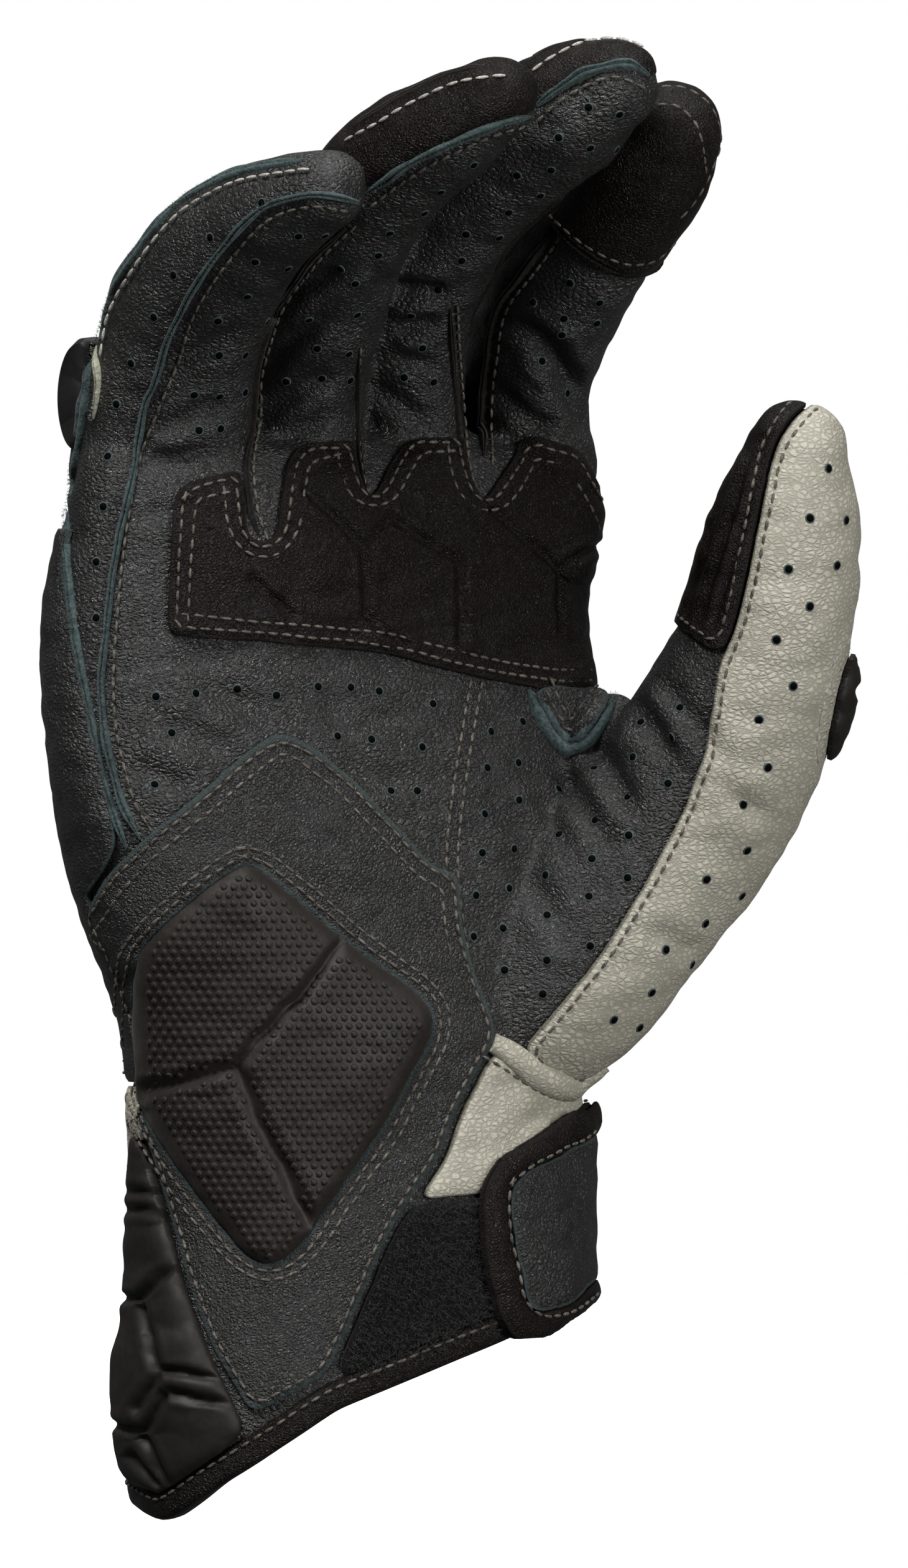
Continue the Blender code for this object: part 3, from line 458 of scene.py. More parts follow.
# Perforations in grid squares, by the leather that they are punched in
FINGER_HOLES = [
    (-10.0, 183.3), (-5.9, 183.4), (-16.9, 179.4), (-11.8, 178.4), (-18.2, 174.1), (-22.9, 170.3),
    (-15.2, 170.4), (-22.8, 165.0), (-18.7, 165.1), (-26.8, 158.8), (-22.8, 158.6), (-18.8, 159.3),
    (-26.1, 153.2), (-22.7, 153.5), (17.6, 194.6), (12.4, 190.5), (9.8, 187.3), (4.3, 184.2),
    (2.5, 180.8), (-3.5, 178.7), (-1.2, 176.4), (-8.6, 170.8), (-0.9, 171.6), (-7.3, 166.3),
    (-2.3, 165.5), (-12.3, 161.2), (-6.6, 161.7), (-2.1, 161.4), (35.8, 204.1), (40.7, 203.0),
    (31.1, 199.4), (36.1, 197.8), (40.3, 197.7), (29.9, 194.4), (24.5, 193.6), (28.2, 190.5),
    (23.2, 187.9), (21.7, 184.0), (16.4, 184.5), (15.7, 180.4), (12.0, 175.9), (7.6, 171.8),
    (9.4, 166.7), (6.5, 162.1), (11.2, 161.4), (33.1, 177.2), (27.2, 174.2), (37.8, 174.1),
    (32.1, 171.6), (37.4, 170.9), (31.8, 169.0), (28.6, 164.9), (32.7, 159.9),
]
STRIP_HOLES = [
    (-15.8, 188.5), (-24.0, 183.3), (-29.9, 177.5), (-33.1, 171.0), (-36.8, 163.8), (-39.2, 157.4),
    (-40.6, 149.1), (-41.3, 141.1), (-42.4, 132.3), (-42.4, 123.4),
]
PALM_HOLES = [
    (-32.9, 110.9), (-26.6, 111.4), (-20.0, 112.1), (-13.8, 111.1), (-7.2, 112.5), (-2.0, 112.4),
    (2.5, 111.8), (11.1, 109.8), (-30.4, 105.1), (-4.1, 104.6), (1.3, 104.1), (9.4, 102.9),
    (-33.1, 96.9), (4.4, 95.9), (8.6, 95.9),
]
THUMB_HOLES = [
    (20.4, 105.4), (25.5, 107.0), (19.8, 99.6), (24.8, 100.4), (24.9, 94.4), (31.3, 96.2),
    (37.0, 99.5), (44.5, 106.9), (49.4, 104.5), (50.7, 109.2), (43.2, 101.3), (48.8, 97.1),
    (42.4, 94.9), (37.2, 91.2), (31.4, 88.9), (19.4, 92.2), (24.1, 86.6), (42.5, 88.8), (36.6, 85.0),
    (19.0, 86.0), (29.2, 82.4), (42.3, 82.0), (23.3, 80.3), (18.0, 79.2), (36.1, 79.0), (29.4, 76.0),
    (22.3, 73.9), (17.6, 72.6), (36.3, 71.1), (29.4, 68.8), (22.6, 67.2), (28.7, 63.4),
]
GREIGE_HOLES = [
    (73.4, 147.4), (70.9, 139.3), (67.7, 131.5), (70.7, 125.5), (65.8, 120.2), (68.2, 112.8),
    (63.1, 107.6), (64.1, 100.0), (60.1, 93.8), (74.8, 132.2), (76.1, 139.3), (76.6, 147.6),
    (78.2, 132.2), (60.8, 87.1), (54.4, 82.2), (59.8, 79.8), (53.9, 75.2), (57.6, 74.7), (47.6, 70.6),
    (51.6, 68.6), (45.4, 64.3), (49.2, 62.7), (39.4, 59.9), (43.4, 58.6),
]


def across(squares: float) -> float:
    """Length across the front view."""
    return squares * GLOVE_WIDTH / GRID_ACROSS


def up(squares: float) -> float:
    """Height above the wrist's centre."""
    return squares * GLOVE_LENGTH / GRID_UP


def deep(squares: float) -> float:
    """Depth behind the wrist's centre."""
    return squares * GLOVE_DEPTH / GRID_DEEP


def placed(drawn: Points2) -> np.ndarray:
    """Places of the front view in metres, from grid squares."""
    return np.array([(across(x), up(z)) for x, z in drawn])


def shifted(drawn: Points2, right: float, rise: float = 0.0) -> Points2:
    """A drawn line moved by a number of squares."""
    return [(x + right, z + rise) for x, z in drawn]


def upright(flat: np.ndarray) -> np.ndarray:
    """Points of the plane through the origin at places of the front view."""
    return np.column_stack([flat[:, 0], np.zeros(len(flat)), flat[:, 1]])


def unit(rows: np.ndarray) -> np.ndarray:
    """Rows scaled to length one."""
    return rows / np.maximum(np.linalg.norm(rows, axis=-1, keepdims=True), 1e-12)


def spline(rows: np.ndarray, step: float, axes: slice) -> np.ndarray:
    """Rows on a smooth curve through a table's rows.

    Args:
        rows: the table, one row for each point.
        step: length along the curve between the rows that come out.
        axes: the columns that are a place and give that length.

    Returns:
        The finer table.
    """
    padded = np.vstack([2.0 * rows[0] - rows[1], rows, 2.0 * rows[-1] - rows[-2]])
    out = []
    for k in range(1, len(padded) - 2):
        before, here, after, beyond = padded[k - 1 : k + 3]
        count = max(1, int(round(np.linalg.norm((after - here)[axes]) / step)))
        for t in np.arange(count) / count:
            out.append(
                0.5 * (
                    2.0 * here
                    + (after - before) * t
                    + (2.0 * before - 5.0 * here + 4.0 * after - beyond) * t**2
                    + (3.0 * here - before - 3.0 * after + beyond) * t**3
                )
            )
    return np.array(out + [rows[-1]])


def oval(sides: int, roundness: float) -> np.ndarray:
    """Unit superellipse points, anticlockwise."""
    angles = np.arange(sides) * 2.0 * math.pi / sides
    cosines, sines = np.cos(angles), np.sin(angles)
    power = 2.0 / roundness
    x = np.sign(cosines) * np.abs(cosines) ** power
    y = np.sign(sines) * np.abs(sines) ** power
    return np.column_stack([x, y])


def loft(rings: Sequence[np.ndarray], joined: bool = False) -> Pair:
    """Triangles through rings of points.

    Args:
        rings: rings of equal count, each closed on itself.
        joined: whether the last ring meets the first, instead of both ends being capped.

    Returns:
        The points and the triangles, turned to point outwards.
    """
    sides, count = len(rings[0]), len(rings)
    points = np.vstack(rings)
    last = count if joined else count - 1
    low = (np.arange(last) * sides)[:, None] + np.arange(sides)[None, :]
    nxt = (np.arange(last) * sides)[:, None] + (np.arange(sides)[None, :] + 1) % sides
    high, high_next = (low + sides) % len(points), (nxt + sides) % len(points)
    triangles = np.vstack(
        [
            np.column_stack([low.ravel(), nxt.ravel(), high_next.ravel()]),
            np.column_stack([low.ravel(), high_next.ravel(), high.ravel()]),
        ]
    )
    if not joined:
        ends = []
        for start, flip in ((0, True), ((count - 1) * sides, False)):
            hub = len(points)
            points = np.vstack([points, points[start : start + sides].mean(0)])
            a = start + np.arange(sides)
            b = start + (np.arange(sides) + 1) % sides
            fan = np.column_stack([a, b, np.full(sides, hub)])
            ends.append(fan[:, ::-1] if flip else fan)
        triangles = np.vstack([triangles] + ends)
    corner = points[triangles]
    volume = np.einsum("ij,ij->i", corner[:, 0], np.cross(corner[:, 1], corner[:, 2])).sum()
    return points, triangles if volume > 0.0 else triangles[:, ::-1]


def add_mesh(name: str, points: np.ndarray, triangles: np.ndarray) -> bpy.types.Object:
    """Object with a plain triangle mesh, linked to the scene."""
    mesh = bpy.data.meshes.new(name)
    mesh.from_pydata(points.tolist(), [], triangles.tolist())
    mesh.shade_smooth()
    piece = bpy.data.objects.new(name, mesh)
    bpy.context.scene.collection.objects.link(piece)
    return piece


def vertex_normals(points: np.ndarray, triangles: np.ndarray) -> np.ndarray:
    """Area-weighted normals of a mesh's points."""
    corner = points[triangles]
    face = np.cross(corner[:, 1] - corner[:, 0], corner[:, 2] - corner[:, 0])
    out = np.zeros_like(points)
    for k in range(3):
        np.add.at(out, triangles[:, k], face)
    return unit(out)


def edge_keys(triangles: np.ndarray) -> Pair:
    """Each triangle's three directed edges, and each edge's pair in a fixed order."""
    directed = np.vstack([triangles[:, [0, 1]], triangles[:, [1, 2]], triangles[:, [2, 0]]])
    return directed, np.sort(directed, axis=1)


def rims(triangles: np.ndarray) -> np.ndarray:
    """Directed edges that only one triangle has."""
    directed, pairs = edge_keys(triangles)
    _, first, count = np.unique(pairs, axis=0, return_index=True, return_counts=True)
    return directed[first[count == 1]]


def rim_loops(triangles: np.ndarray) -> List[List[int]]:
    """Closed runs of a surface's open edges, the longest first."""
    follow = {int(a): int(b) for a, b in rims(triangles)}
    loops = []
    while follow:
        start, here = next(iter(follow.items()))
        loop = [start]
        del follow[start]
        while here != start and here in follow:
            loop.append(here)
            here = follow.pop(here)
        loops.append(loop)
    return sorted(loops, key=len, reverse=True)


@dataclass
class Surface:
    """Triangle surface with smooth outward normals and a distance from its cut edge."""

    points: np.ndarray
    normals: np.ndarray
    triangles: np.ndarray

    def compact(self, triangles: np.ndarray) -> "Surface":
        """Surface of some of the triangles, with only the points that they use."""
        used, flat = np.unique(triangles, return_inverse=True)
        return Surface(self.points[used], self.normals[used], flat.reshape(-1, 3))

    def near(self, region: Field, margin: float) -> "Surface":
        """Triangles with a corner inside a region or within a margin of it."""
        inside = region(self.points) > -margin
        return self.compact(self.triangles[inside[self.triangles].any(axis=1)])

    def refined(self) -> "Surface":
        """Each triangle as four, with the new points bulged to follow the normals."""
        _, pairs = edge_keys(self.triangles)
        edges, where = np.unique(pairs, axis=0, return_inverse=True)
        where = where.reshape(3, -1).T + len(self.points)
        a, b = self.points[edges[:, 0]], self.points[edges[:, 1]]
        na, nb = self.normals[edges[:, 0]], self.normals[edges[:, 1]]
        along = b - a
        rise_b = np.einsum("ij,ij->i", along, nb)[:, None] * nb
        rise_a = np.einsum("ij,ij->i", along, na)[:, None] * na
        middle = (a + b) / 2.0 + (rise_b - rise_a) / 8.0
        t = self.triangles
        ab, bc, ca = where[:, 0], where[:, 1], where[:, 2]
        triangles = np.vstack(
            [
                np.column_stack([t[:, 0], ab, ca]),
                np.column_stack([ab, t[:, 1], bc]),
                np.column_stack([ca, bc, t[:, 2]]),
                np.column_stack([ab, bc, ca]),
            ]
        )
        points = np.vstack([self.points, middle])
        return Surface(points, np.vstack([self.normals, unit(na + nb)]), triangles)

    def clipped(self, region: Field) -> "Surface":
        """The part inside a region, cut along the region's exact border."""
        value = region(self.points)
        value[np.abs(value) < SNAP] = 0.0
        inside = value >= 0.0
        count = inside[self.triangles].sum(axis=1)
        whole = self.triangles[count == 3]
        extra_points: List[np.ndarray] = []
        extra_normals: List[np.ndarray] = []
        made: Dict[Tuple[int, int], int] = {}
        cut_faces = []
        for corners in self.triangles[(count > 0) & (count < 3)]:
            ring = []
            for k in range(3):
                p, q = int(corners[k]), int(corners[(k + 1) % 3])
                if inside[p]:
                    ring.append(p)
                if inside[p] != inside[q] and value[p] != 0.0 and value[q] != 0.0:
                    key = (min(p, q), max(p, q))
                    if key not in made:
                        made[key] = len(self.points) + len(extra_points)
                        share = value[key[0]] / (value[key[0]] - value[key[1]])
                        extra_points.append(
                            self.points[key[0]] * (1.0 - share) + self.points[key[1]] * share
                        )
                        extra_normals.append(
                            self.normals[key[0]] * (1.0 - share) + self.normals[key[1]] * share
                        )
                    ring.append(made[key])
            for k in range(1, len(ring) - 1):
                cut_faces.append((ring[0], ring[k], ring[k + 1]))
        if not extra_points:
            return self.compact(whole)
        grown = Surface(
            np.vstack([self.points, extra_points]),
            unit(np.vstack([self.normals, extra_normals])),
            whole,
        )
        if cut_faces:
            whole = np.vstack([whole, np.array(cut_faces)])
        return grown.compact(whole)

    def main_part(self) -> "Surface":
        """The largest connected part."""
        parent = np.arange(len(self.points))
        _, pairs = edge_keys(self.triangles)
        pairs = np.unique(pairs, axis=0)
        while True:
            low = np.minimum(parent[pairs[:, 0]], parent[pairs[:, 1]])
            before = parent.copy()
            np.minimum.at(parent, pairs[:, 0], low)
            np.minimum.at(parent, pairs[:, 1], low)
            parent = parent[parent]
            if np.array_equal(parent, before):
                break
        root = parent[self.triangles[:, 0]]
        names, sizes = np.unique(root, return_counts=True)
        return self.compact(self.triangles[root == names[np.argmax(sizes)]])

    def tree(self) -> BVHTree:
        """Search tree of the triangles."""
        return BVHTree.FromPolygons(self.points.tolist(), self.triangles.tolist())


def rounded(corners: np.ndarray, reach: float) -> np.ndarray:
    """Closed outline with its corners rounded over about a length."""
    step = reach / 2.0
    out = []
    for here, after in zip(corners, np.roll(corners, -1, axis=0)):
        count = max(1, int(round(np.linalg.norm(after - here) / step)))
        out += [here + (after - here) * k / count for k in range(count)]
    out = np.array(out)
    for _ in range(4):
        out = (np.roll(out, 1, axis=0) + 2.0 * out + np.roll(out, -1, axis=0)) / 4.0
    return out


def outline(drawn: Points2, grow: float = 0.0) -> Field:
    """Region behind an outline of the front view.

    Args:
        drawn: the outline's corners in grid squares.
        grow: length that the region reaches past the outline.

    Returns:
        A field that gives the distance inside the region.
    """
    ring = rounded(placed(drawn), CORNER)
    after = np.roll(ring, -1, axis=0)

    def region(points: np.ndarray) -> np.ndarray:
        """Distance inside the outline, in the front view."""
        x, z = points[:, 0], points[:, 2]
        best = np.full(len(points), 1.0)
        inside = np.zeros(len(points), bool)
        for a, b in zip(ring, after):
            ex, ez = b - a
            wx, wz = x - a[0], z - a[1]
            t = np.clip((wx * ex + wz * ez) / max(ex * ex + ez * ez, 1e-15), 0.0, 1.0)
            best = np.minimum(best, (wx - t * ex) ** 2 + (wz - t * ez) ** 2)
            if a[1] != b[1]:
                crossed = (a[1] > z) != (b[1] > z)
                inside ^= crossed & (wx < ex * wz / ez)
        return np.where(inside, 1.0, -1.0) * np.sqrt(best) + grow

    return region


def middle_depth(points: np.ndarray) -> np.ndarray:
    """Depth of the hand's middle plane behind points of the front view."""
    z = points[:, 2]
    heights = [up(s.up) for s in BODY_SECTIONS]
    centre = np.interp(z, heights, [across(s.across) for s in BODY_SECTIONS])
    back = np.interp(z, heights, [deep(s.deep) for s in BODY_SECTIONS])
    turn = np.radians(np.interp(z, heights, [s.turn for s in BODY_SECTIONS]))
    return back + (points[:, 0] - centre) * np.tan(turn)


def behind(offset: float) -> Field:
    """Region behind the hand's middle plane, moved back by an offset."""
    return lambda points: points[:, 1] - middle_depth(points) - offset


def before(offset: float) -> Field:
    """Region in front of the hand's middle plane, moved back by an offset."""
    return lambda points: middle_depth(points) + offset - points[:, 1]


def above_hem(lift: float) -> Field:
    """Region above the hem's line raised by a length; the line slopes up behind the palm."""
    xs = [across(x) for x, _ in HEM]
    zs = [up(z) for _, z in HEM]

    def region(points: np.ndarray) -> np.ndarray:
        """Height above the hem's surface."""
        line = np.interp(points[:, 0], xs, zs)
        return points[:, 2] - line - HEM_SLOPE * (points[:, 1] + PALM_THICKNESS / 2.0) - lift

    return region


def all_of(*fields: Field) -> Field:
    """Region that every one of the fields has."""
    return lambda points: np.min([f(points) for f in fields], axis=0)


def any_of(*fields: Field) -> Field:
    """Region that at least one of the fields has."""
    return lambda points: np.max([f(points) for f in fields], axis=0)


def outside(region: Field, gap: float = 0.0) -> Field:
    """Everything but a region, a gap clear of it."""
    return lambda points: -region(points) - gap


def body_rings() -> List[np.ndarray]:
    """Fine rings of the palm and cuff form."""
    table = np.array(
        [
            (up(s.up), across(s.across), deep(s.deep), s.wide * PALM_BREADTH / 2.0,
             s.thick * PALM_THICKNESS / 2.0, math.radians(s.turn))
            for s in BODY_SECTIONS
        ]
    )
    shape = oval(2 * FORM_SIDES, PALM_ROUNDNESS)
    rings = []
    for height, x, y, wide, thick, turn in spline(table, FORM_STEP, slice(0, 3)):
        a, b = wide * shape[:, 0], thick * shape[:, 1]
        ring_x = x + a * math.cos(turn) - b * math.sin(turn)
        ring_y = y + a * math.sin(turn) + b * math.cos(turn)
        rings.append(np.column_stack([ring_x, ring_y, np.full(len(shape), height)]))
    return rings


@dataclass
class Stall:
    """Finger form along a table of rings."""

    table: List[Ring]
    width: float

    def rows(self) -> np.ndarray:
        """Fine centre line, with half the width and half the thickness."""
        half = self.width / 2.0
        coarse = np.array(
            [(across(r.across), deep(r.deep), up(r.up), r.wide * half, r.thick * half) for r in self.table]
        )
        return spline(coarse, FORM_STEP, slice(0, 3))

    def frames(self) -> Tuple[np.ndarray, np.ndarray, np.ndarray, np.ndarray]:
        """Centre line rows with the tangent, side and depth directions at each."""
        rows = self.rows()
        tangents = unit(np.gradient(rows[:, :3], axis=0))
        side = unit(np.cross(np.array([0.0, 1.0, 0.0]), tangents))
        return rows, tangents, side, np.cross(tangents, side)

    def rings(self) -> List[np.ndarray]:
        """Rings of the form, with a domed tip."""
        rows, tangents, side, depth = self.frames()
        shape = oval(FORM_SIDES, 2.0)
        rings = [
            row[:3] + np.outer(shape[:, 0] * row[3], s) + np.outer(shape[:, 1] * row[4], d)
            for row, s, d in zip(rows, side, depth)
        ]
        last, s, d = rows[-1], side[-1], depth[-1]
        reach = (last[3] + last[4]) / 2.0
        for angle in np.linspace(0.0, math.pi / 2.0, TIP_STEPS)[1:-1]:
            centre = last[:3] + tangents[-1] * reach * math.sin(angle)
            wide, thick = last[3] * math.cos(angle), last[4] * math.cos(angle)
            rings.append(centre + np.outer(shape[:, 0] * wide, s) + np.outer(shape[:, 1] * thick, d))
        return rings

    def clearance(self, points: np.ndarray) -> np.ndarray:
        """Distance of points from the form's surface, below zero inside it."""
        rows = self.rows()[::2]
        best = np.full(len(points), 1.0)
        for row in rows:
            best = np.minimum(best, np.linalg.norm(points - row[:3], axis=1) - (row[3] + row[4]) / 2.0)
        return best


FINGERS = {name: Stall(table, FINGER_WIDTH) for name, table in FINGER_RINGS.items()}
THUMB = Stall(THUMB_RINGS, THUMB_WIDTH)
FILLS = [Stall(INDEX_WALL_RINGS, FINGER_WIDTH), Stall(WEB_RINGS, FINGER_WIDTH)]

Crease = namedtuple("Crease", "x z x2 z2 depth width")
# Folds pressed into the palm side of the skin, in grid squares, with a depth and a half width in metres
CREASES = [
    Crease(26.5, 169.0, 37.5, 157.5, 0.0030, 0.0019),
    Crease(30.0, 162.0, 37.5, 153.0, 0.0014, 0.0016),
    Crease(20.5, 161.0, 29.0, 154.0, 0.0012, 0.0015),
    Crease(23.5, 171.5, 34.5, 166.0, 0.0012, 0.0015),
    Crease(22.0, 152.0, 31.0, 155.5, 0.0010, 0.0014),
    Crease(2.0, 176.5, 14.0, 175.2, 0.0022, 0.0016),
    Crease(4.5, 169.0, 12.5, 171.5, 0.0013, 0.0015),
    Crease(1.0, 161.0, 9.5, 155.0, 0.0011, 0.0016),
    Crease(3.5, 165.5, 12.5, 164.0, 0.0008, 0.0013),
    Crease(-13.5, 174.0, -3.5, 178.8, 0.0015, 0.0015),
    Crease(-15.0, 165.0, -5.0, 172.0, 0.0013, 0.0015),
    Crease(-16.0, 157.0, -4.5, 162.5, 0.0011, 0.0017),
    Crease(-14.5, 151.5, -6.0, 155.0, 0.0008, 0.0015),
    Crease(-31.0, 163.0, -19.5, 168.5, 0.0010, 0.0016),
    Crease(-34.0, 153.5, -20.5, 157.5, 0.0011, 0.0018),
    Crease(-36.0, 147.0, -23.5, 150.0, 0.0009, 0.0016),
    Crease(-36.0, 138.5, -31.0, 141.0, 0.0007, 0.0016),
    Crease(36.0, 105.0, 43.5, 92.0, 0.0017, 0.0021),
    Crease(31.0, 100.0, 40.5, 85.0, 0.0013, 0.0021),
    Crease(27.0, 97.0, 34.0, 86.0, 0.0008, 0.0018),
    Crease(43.0, 111.0, 50.0, 100.0, 0.0014, 0.0020),
    Crease(48.0, 114.0, 54.0, 104.0, 0.0010, 0.0018),
    Crease(24.0, 85.0, 33.0, 73.0, 0.0009, 0.0023),
    Crease(19.0, 96.0, 27.0, 87.0, 0.0006, 0.0020),
    Crease(-27.0, 113.5, -13.0, 107.5, 0.0011, 0.0024),
    Crease(-34.0, 108.0, -21.0, 101.5, 0.0010, 0.0024),
    Crease(-31.0, 117.5, -20.0, 116.0, 0.0008, 0.0020),
    Crease(-37.0, 100.5, -28.0, 96.0, 0.0009, 0.0020),
    Crease(-8.0, 109.5, 6.0, 106.5, 0.0007, 0.0024),
    Crease(-4.0, 101.0, 6.0, 96.5, 0.0006, 0.0022),
    Crease(53.0, 110.0, 58.0, 99.0, 0.0009, 0.0021),
    Crease(45.0, 74.0, 54.0, 70.0, 0.0007, 0.0020),
    Crease(58.0, 96.0, 66.0, 91.0, 0.0007, 0.0020),
    Crease(24.0, 43.0, 33.0, 45.5, 0.0007, 0.0018),
]


@dataclass
class Skin:
    """Smooth leather skin over the palm, the fingers and the thumb, which every panel is cut from."""

    voxel: float = SKIN_VOXEL
    slack: float = 0.0004
    dent: float = 0.0007
    wrinkle: float = 0.00013
    surface: Optional[Surface] = None
    trees: Dict[str, BVHTree] = field(default_factory=dict)
    parts: Dict[str, Surface] = field(default_factory=dict)

    def build(self) -> None:
        """Merges the forms, smooths their joins, presses the folds in and sorts the parts."""
        self.surface = self.creased(self.merged())
        self.trees["all"] = self.surface.tree()
        for name in list(FINGERS) + ["thumb_shell", "hand_shell"]:
            self.parts[name] = self.surface.clipped(self.part_region(name)).main_part()
            self.trees[name] = self.parts[name].tree()

    def merged(self) -> Surface:
        """The forms as one smooth closed surface."""
        groups = [loft(body_rings())]
        groups += [loft(stall.rings()) for stall in list(FINGERS.values()) + [THUMB] + FILLS]
        points, triangles, start = [], [], 0
        for group_points, group_triangles in groups:
            points.append(group_points)
            triangles.append(group_triangles + start)
            start += len(group_points)
        draft = add_mesh("skin_draft", np.vstack(points), np.vstack(triangles))
        remesh = draft.modifiers.new("remesh", "REMESH")
        remesh.mode = "VOXEL"
        remesh.voxel_size = self.voxel
        smooth = draft.modifiers.new("smooth", "SMOOTH")
        smooth.factor = 0.5
        smooth.iterations = SKIN_SMOOTHING
        triangulate = draft.modifiers.new("triangulate", "TRIANGULATE")
        triangulate.quad_method = "SHORTEST_DIAGONAL"
        bpy.context.view_layer.update()
        graph = bpy.context.evaluated_depsgraph_get()
        mesh = bpy.data.meshes.new_from_object(draft.evaluated_get(graph))
        bpy.data.objects.remove(draft, do_unlink=True)
        co = np.zeros(len(mesh.vertices) * 3)
        mesh.vertices.foreach_get("co", co)
        faces = np.zeros(len(mesh.loops), np.int64)
        mesh.loops.foreach_get("vertex_index", faces)
        bpy.data.meshes.remove(mesh)
        co, faces = co.reshape(-1, 3), faces.reshape(-1, 3)
        return Surface(co, vertex_normals(co, faces), faces).main_part()

    def creased(self, smooth: Surface) -> Surface:
        """The skin with its soft dents and pressed folds."""
        points = smooth.points
        shift = waves(points, (45.0, 45.0, 45.0)) * self.dent
        shift += waves(points, (150.0, 150.0, 260.0)) * self.slack
        shift += waves(points, (260.0, 260.0, 480.0)) * self.wrinkle
        front = np.clip(-smooth.normals[:, 1] * 2.0, 0.0, 1.0)
        for fold in CREASES:
            a = np.array([across(fold.x), up(fold.z)])
            b = np.array([across(fold.x2), up(fold.z2)])
            w = points[:, [0, 2]] - a
            e = b - a
            t = (w @ e) / (e @ e)
            near = np.clip(t, 0.0, 1.0)
            apart = np.linalg.norm(w - near[:, None] * e, axis=1)
            fade = np.clip(1.0 - np.abs(2.0 * near - 1.0) ** 3, 0.15, 1.0)
            valley = np.exp(-((apart / fold.width) ** 2)) - 0.35 * np.exp(-((apart / fold.width - 1.9) ** 2))
            shift -= fold.depth * valley * fade * front
        moved = points + smooth.normals * shift[:, None]
        return Surface(moved, vertex_normals(moved, smooth.triangles), smooth.triangles)

    def part_region(self, name: str) -> Field:
        """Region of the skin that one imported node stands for."""
        thumb = outline(THUMB_FIELD)
        if name == "thumb_shell":
            return thumb
        if name == "hand_shell":
            stalls = [self.part_region(finger) for finger in FINGERS]
            return all_of(above_hem(BINDING_LIP), outside(thumb), outside(any_of(*stalls)))
        others = [stall for key, stall in FINGERS.items() if key != name]
        base = up(FINGER_BASE[name])

        def region(points: np.ndarray) -> np.ndarray:
            """Distance inside this finger's share of the skin."""
            out = np.full(len(points), -1.0)
            high = points[:, 2] > base - 0.01
            some = points[high]
            own = FINGERS[name].clearance(some)
            rest = np.min([stall.clearance(some) for stall in others], axis=0)
            out[high] = np.minimum(some[:, 2] - base, (rest - own) / 2.0)
            return out

        return region

    def drop(self, x: float, z: float, part: str = "all", back: bool = False, near: Optional[float] = None):
        """Point and normal of a part's front, or its back, at a place of the front view.

        Args:
            x: place across in metres.
            z: place up in metres.
            part: the part of the skin that is looked at.
            back: whether its far side is meant.
            near: depth that is aimed at where nothing of the part lies at that place.

        Returns:
            The point and the skin's outward normal there.
        """
        start = Vector((x, GLOVE_DEPTH * (1.0 if back else -1.0), z))
        ray = Vector((0.0, -1.0 if back else 1.0, 0.0))
        tree = self.trees[part]
        hit, normal, _, _ = tree.ray_cast(start, ray)
        if hit is None:
            depth = float(middle_depth(np.array([[x, 0.0, z]]))[0]) if near is None else near
            hit, normal, _, _ = tree.find_nearest(Vector((x, depth, z)))
        return np.array(hit), np.array(normal)

    def trace(self, drawn: Points2, step: float, part: str = "all", back: bool = False) -> Pair:
        """A drawn line laid on the skin.

        Args:
            drawn: its points in grid squares of the front view.
            step: length between the points that come out.
            part: the part of the skin that it lies on.
            back: whether it lies on the far side.

        Returns:
            Points and outward normals along it.
        """
        flat = spline(placed(drawn), step, slice(0, 2))
        start, ray = GLOVE_DEPTH * (1.0 if back else -1.0), Vector((0.0, -1.0 if back else 1.0, 0.0))
        casts = [self.trees[part].ray_cast(Vector((x, start, z)), ray)[0] for x, z in flat]
        known = [k for k, hit in enumerate(casts) if hit is not None]
        depths = np.interp(np.arange(len(flat)), known, [casts[k].y for k in known])
        hits = [self.drop(x, z, part, back, depth) for (x, z), depth in zip(flat, depths)]
        points = np.array([hit for hit, _ in hits])
        normals = unit(smoothed(np.array([normal for _, normal in hits]), 3))
        return smoothed(points, 2), normals


def waves(points: np.ndarray, scales: Tuple[float, float, float]) -> np.ndarray:
    """Soft noise at points, with its waves for each metre along each axis."""
    return np.array([noise.noise(Vector(p)) for p in points * np.array(scales)])


def smoothed(rows: np.ndarray, rounds: int, closed: bool = False) -> np.ndarray:
    """Rows averaged with their neighbours a number of times, with open ends kept."""
    for _ in range(rounds):
        if closed:
            rows = (np.roll(rows, 1, axis=0) + 2.0 * rows + np.roll(rows, -1, axis=0)) / 4.0
        else:
            inner = (rows[:-2] + 2.0 * rows[1:-1] + rows[2:]) / 4.0
            rows = np.vstack([rows[:1], inner, rows[-1:]])
    return rows


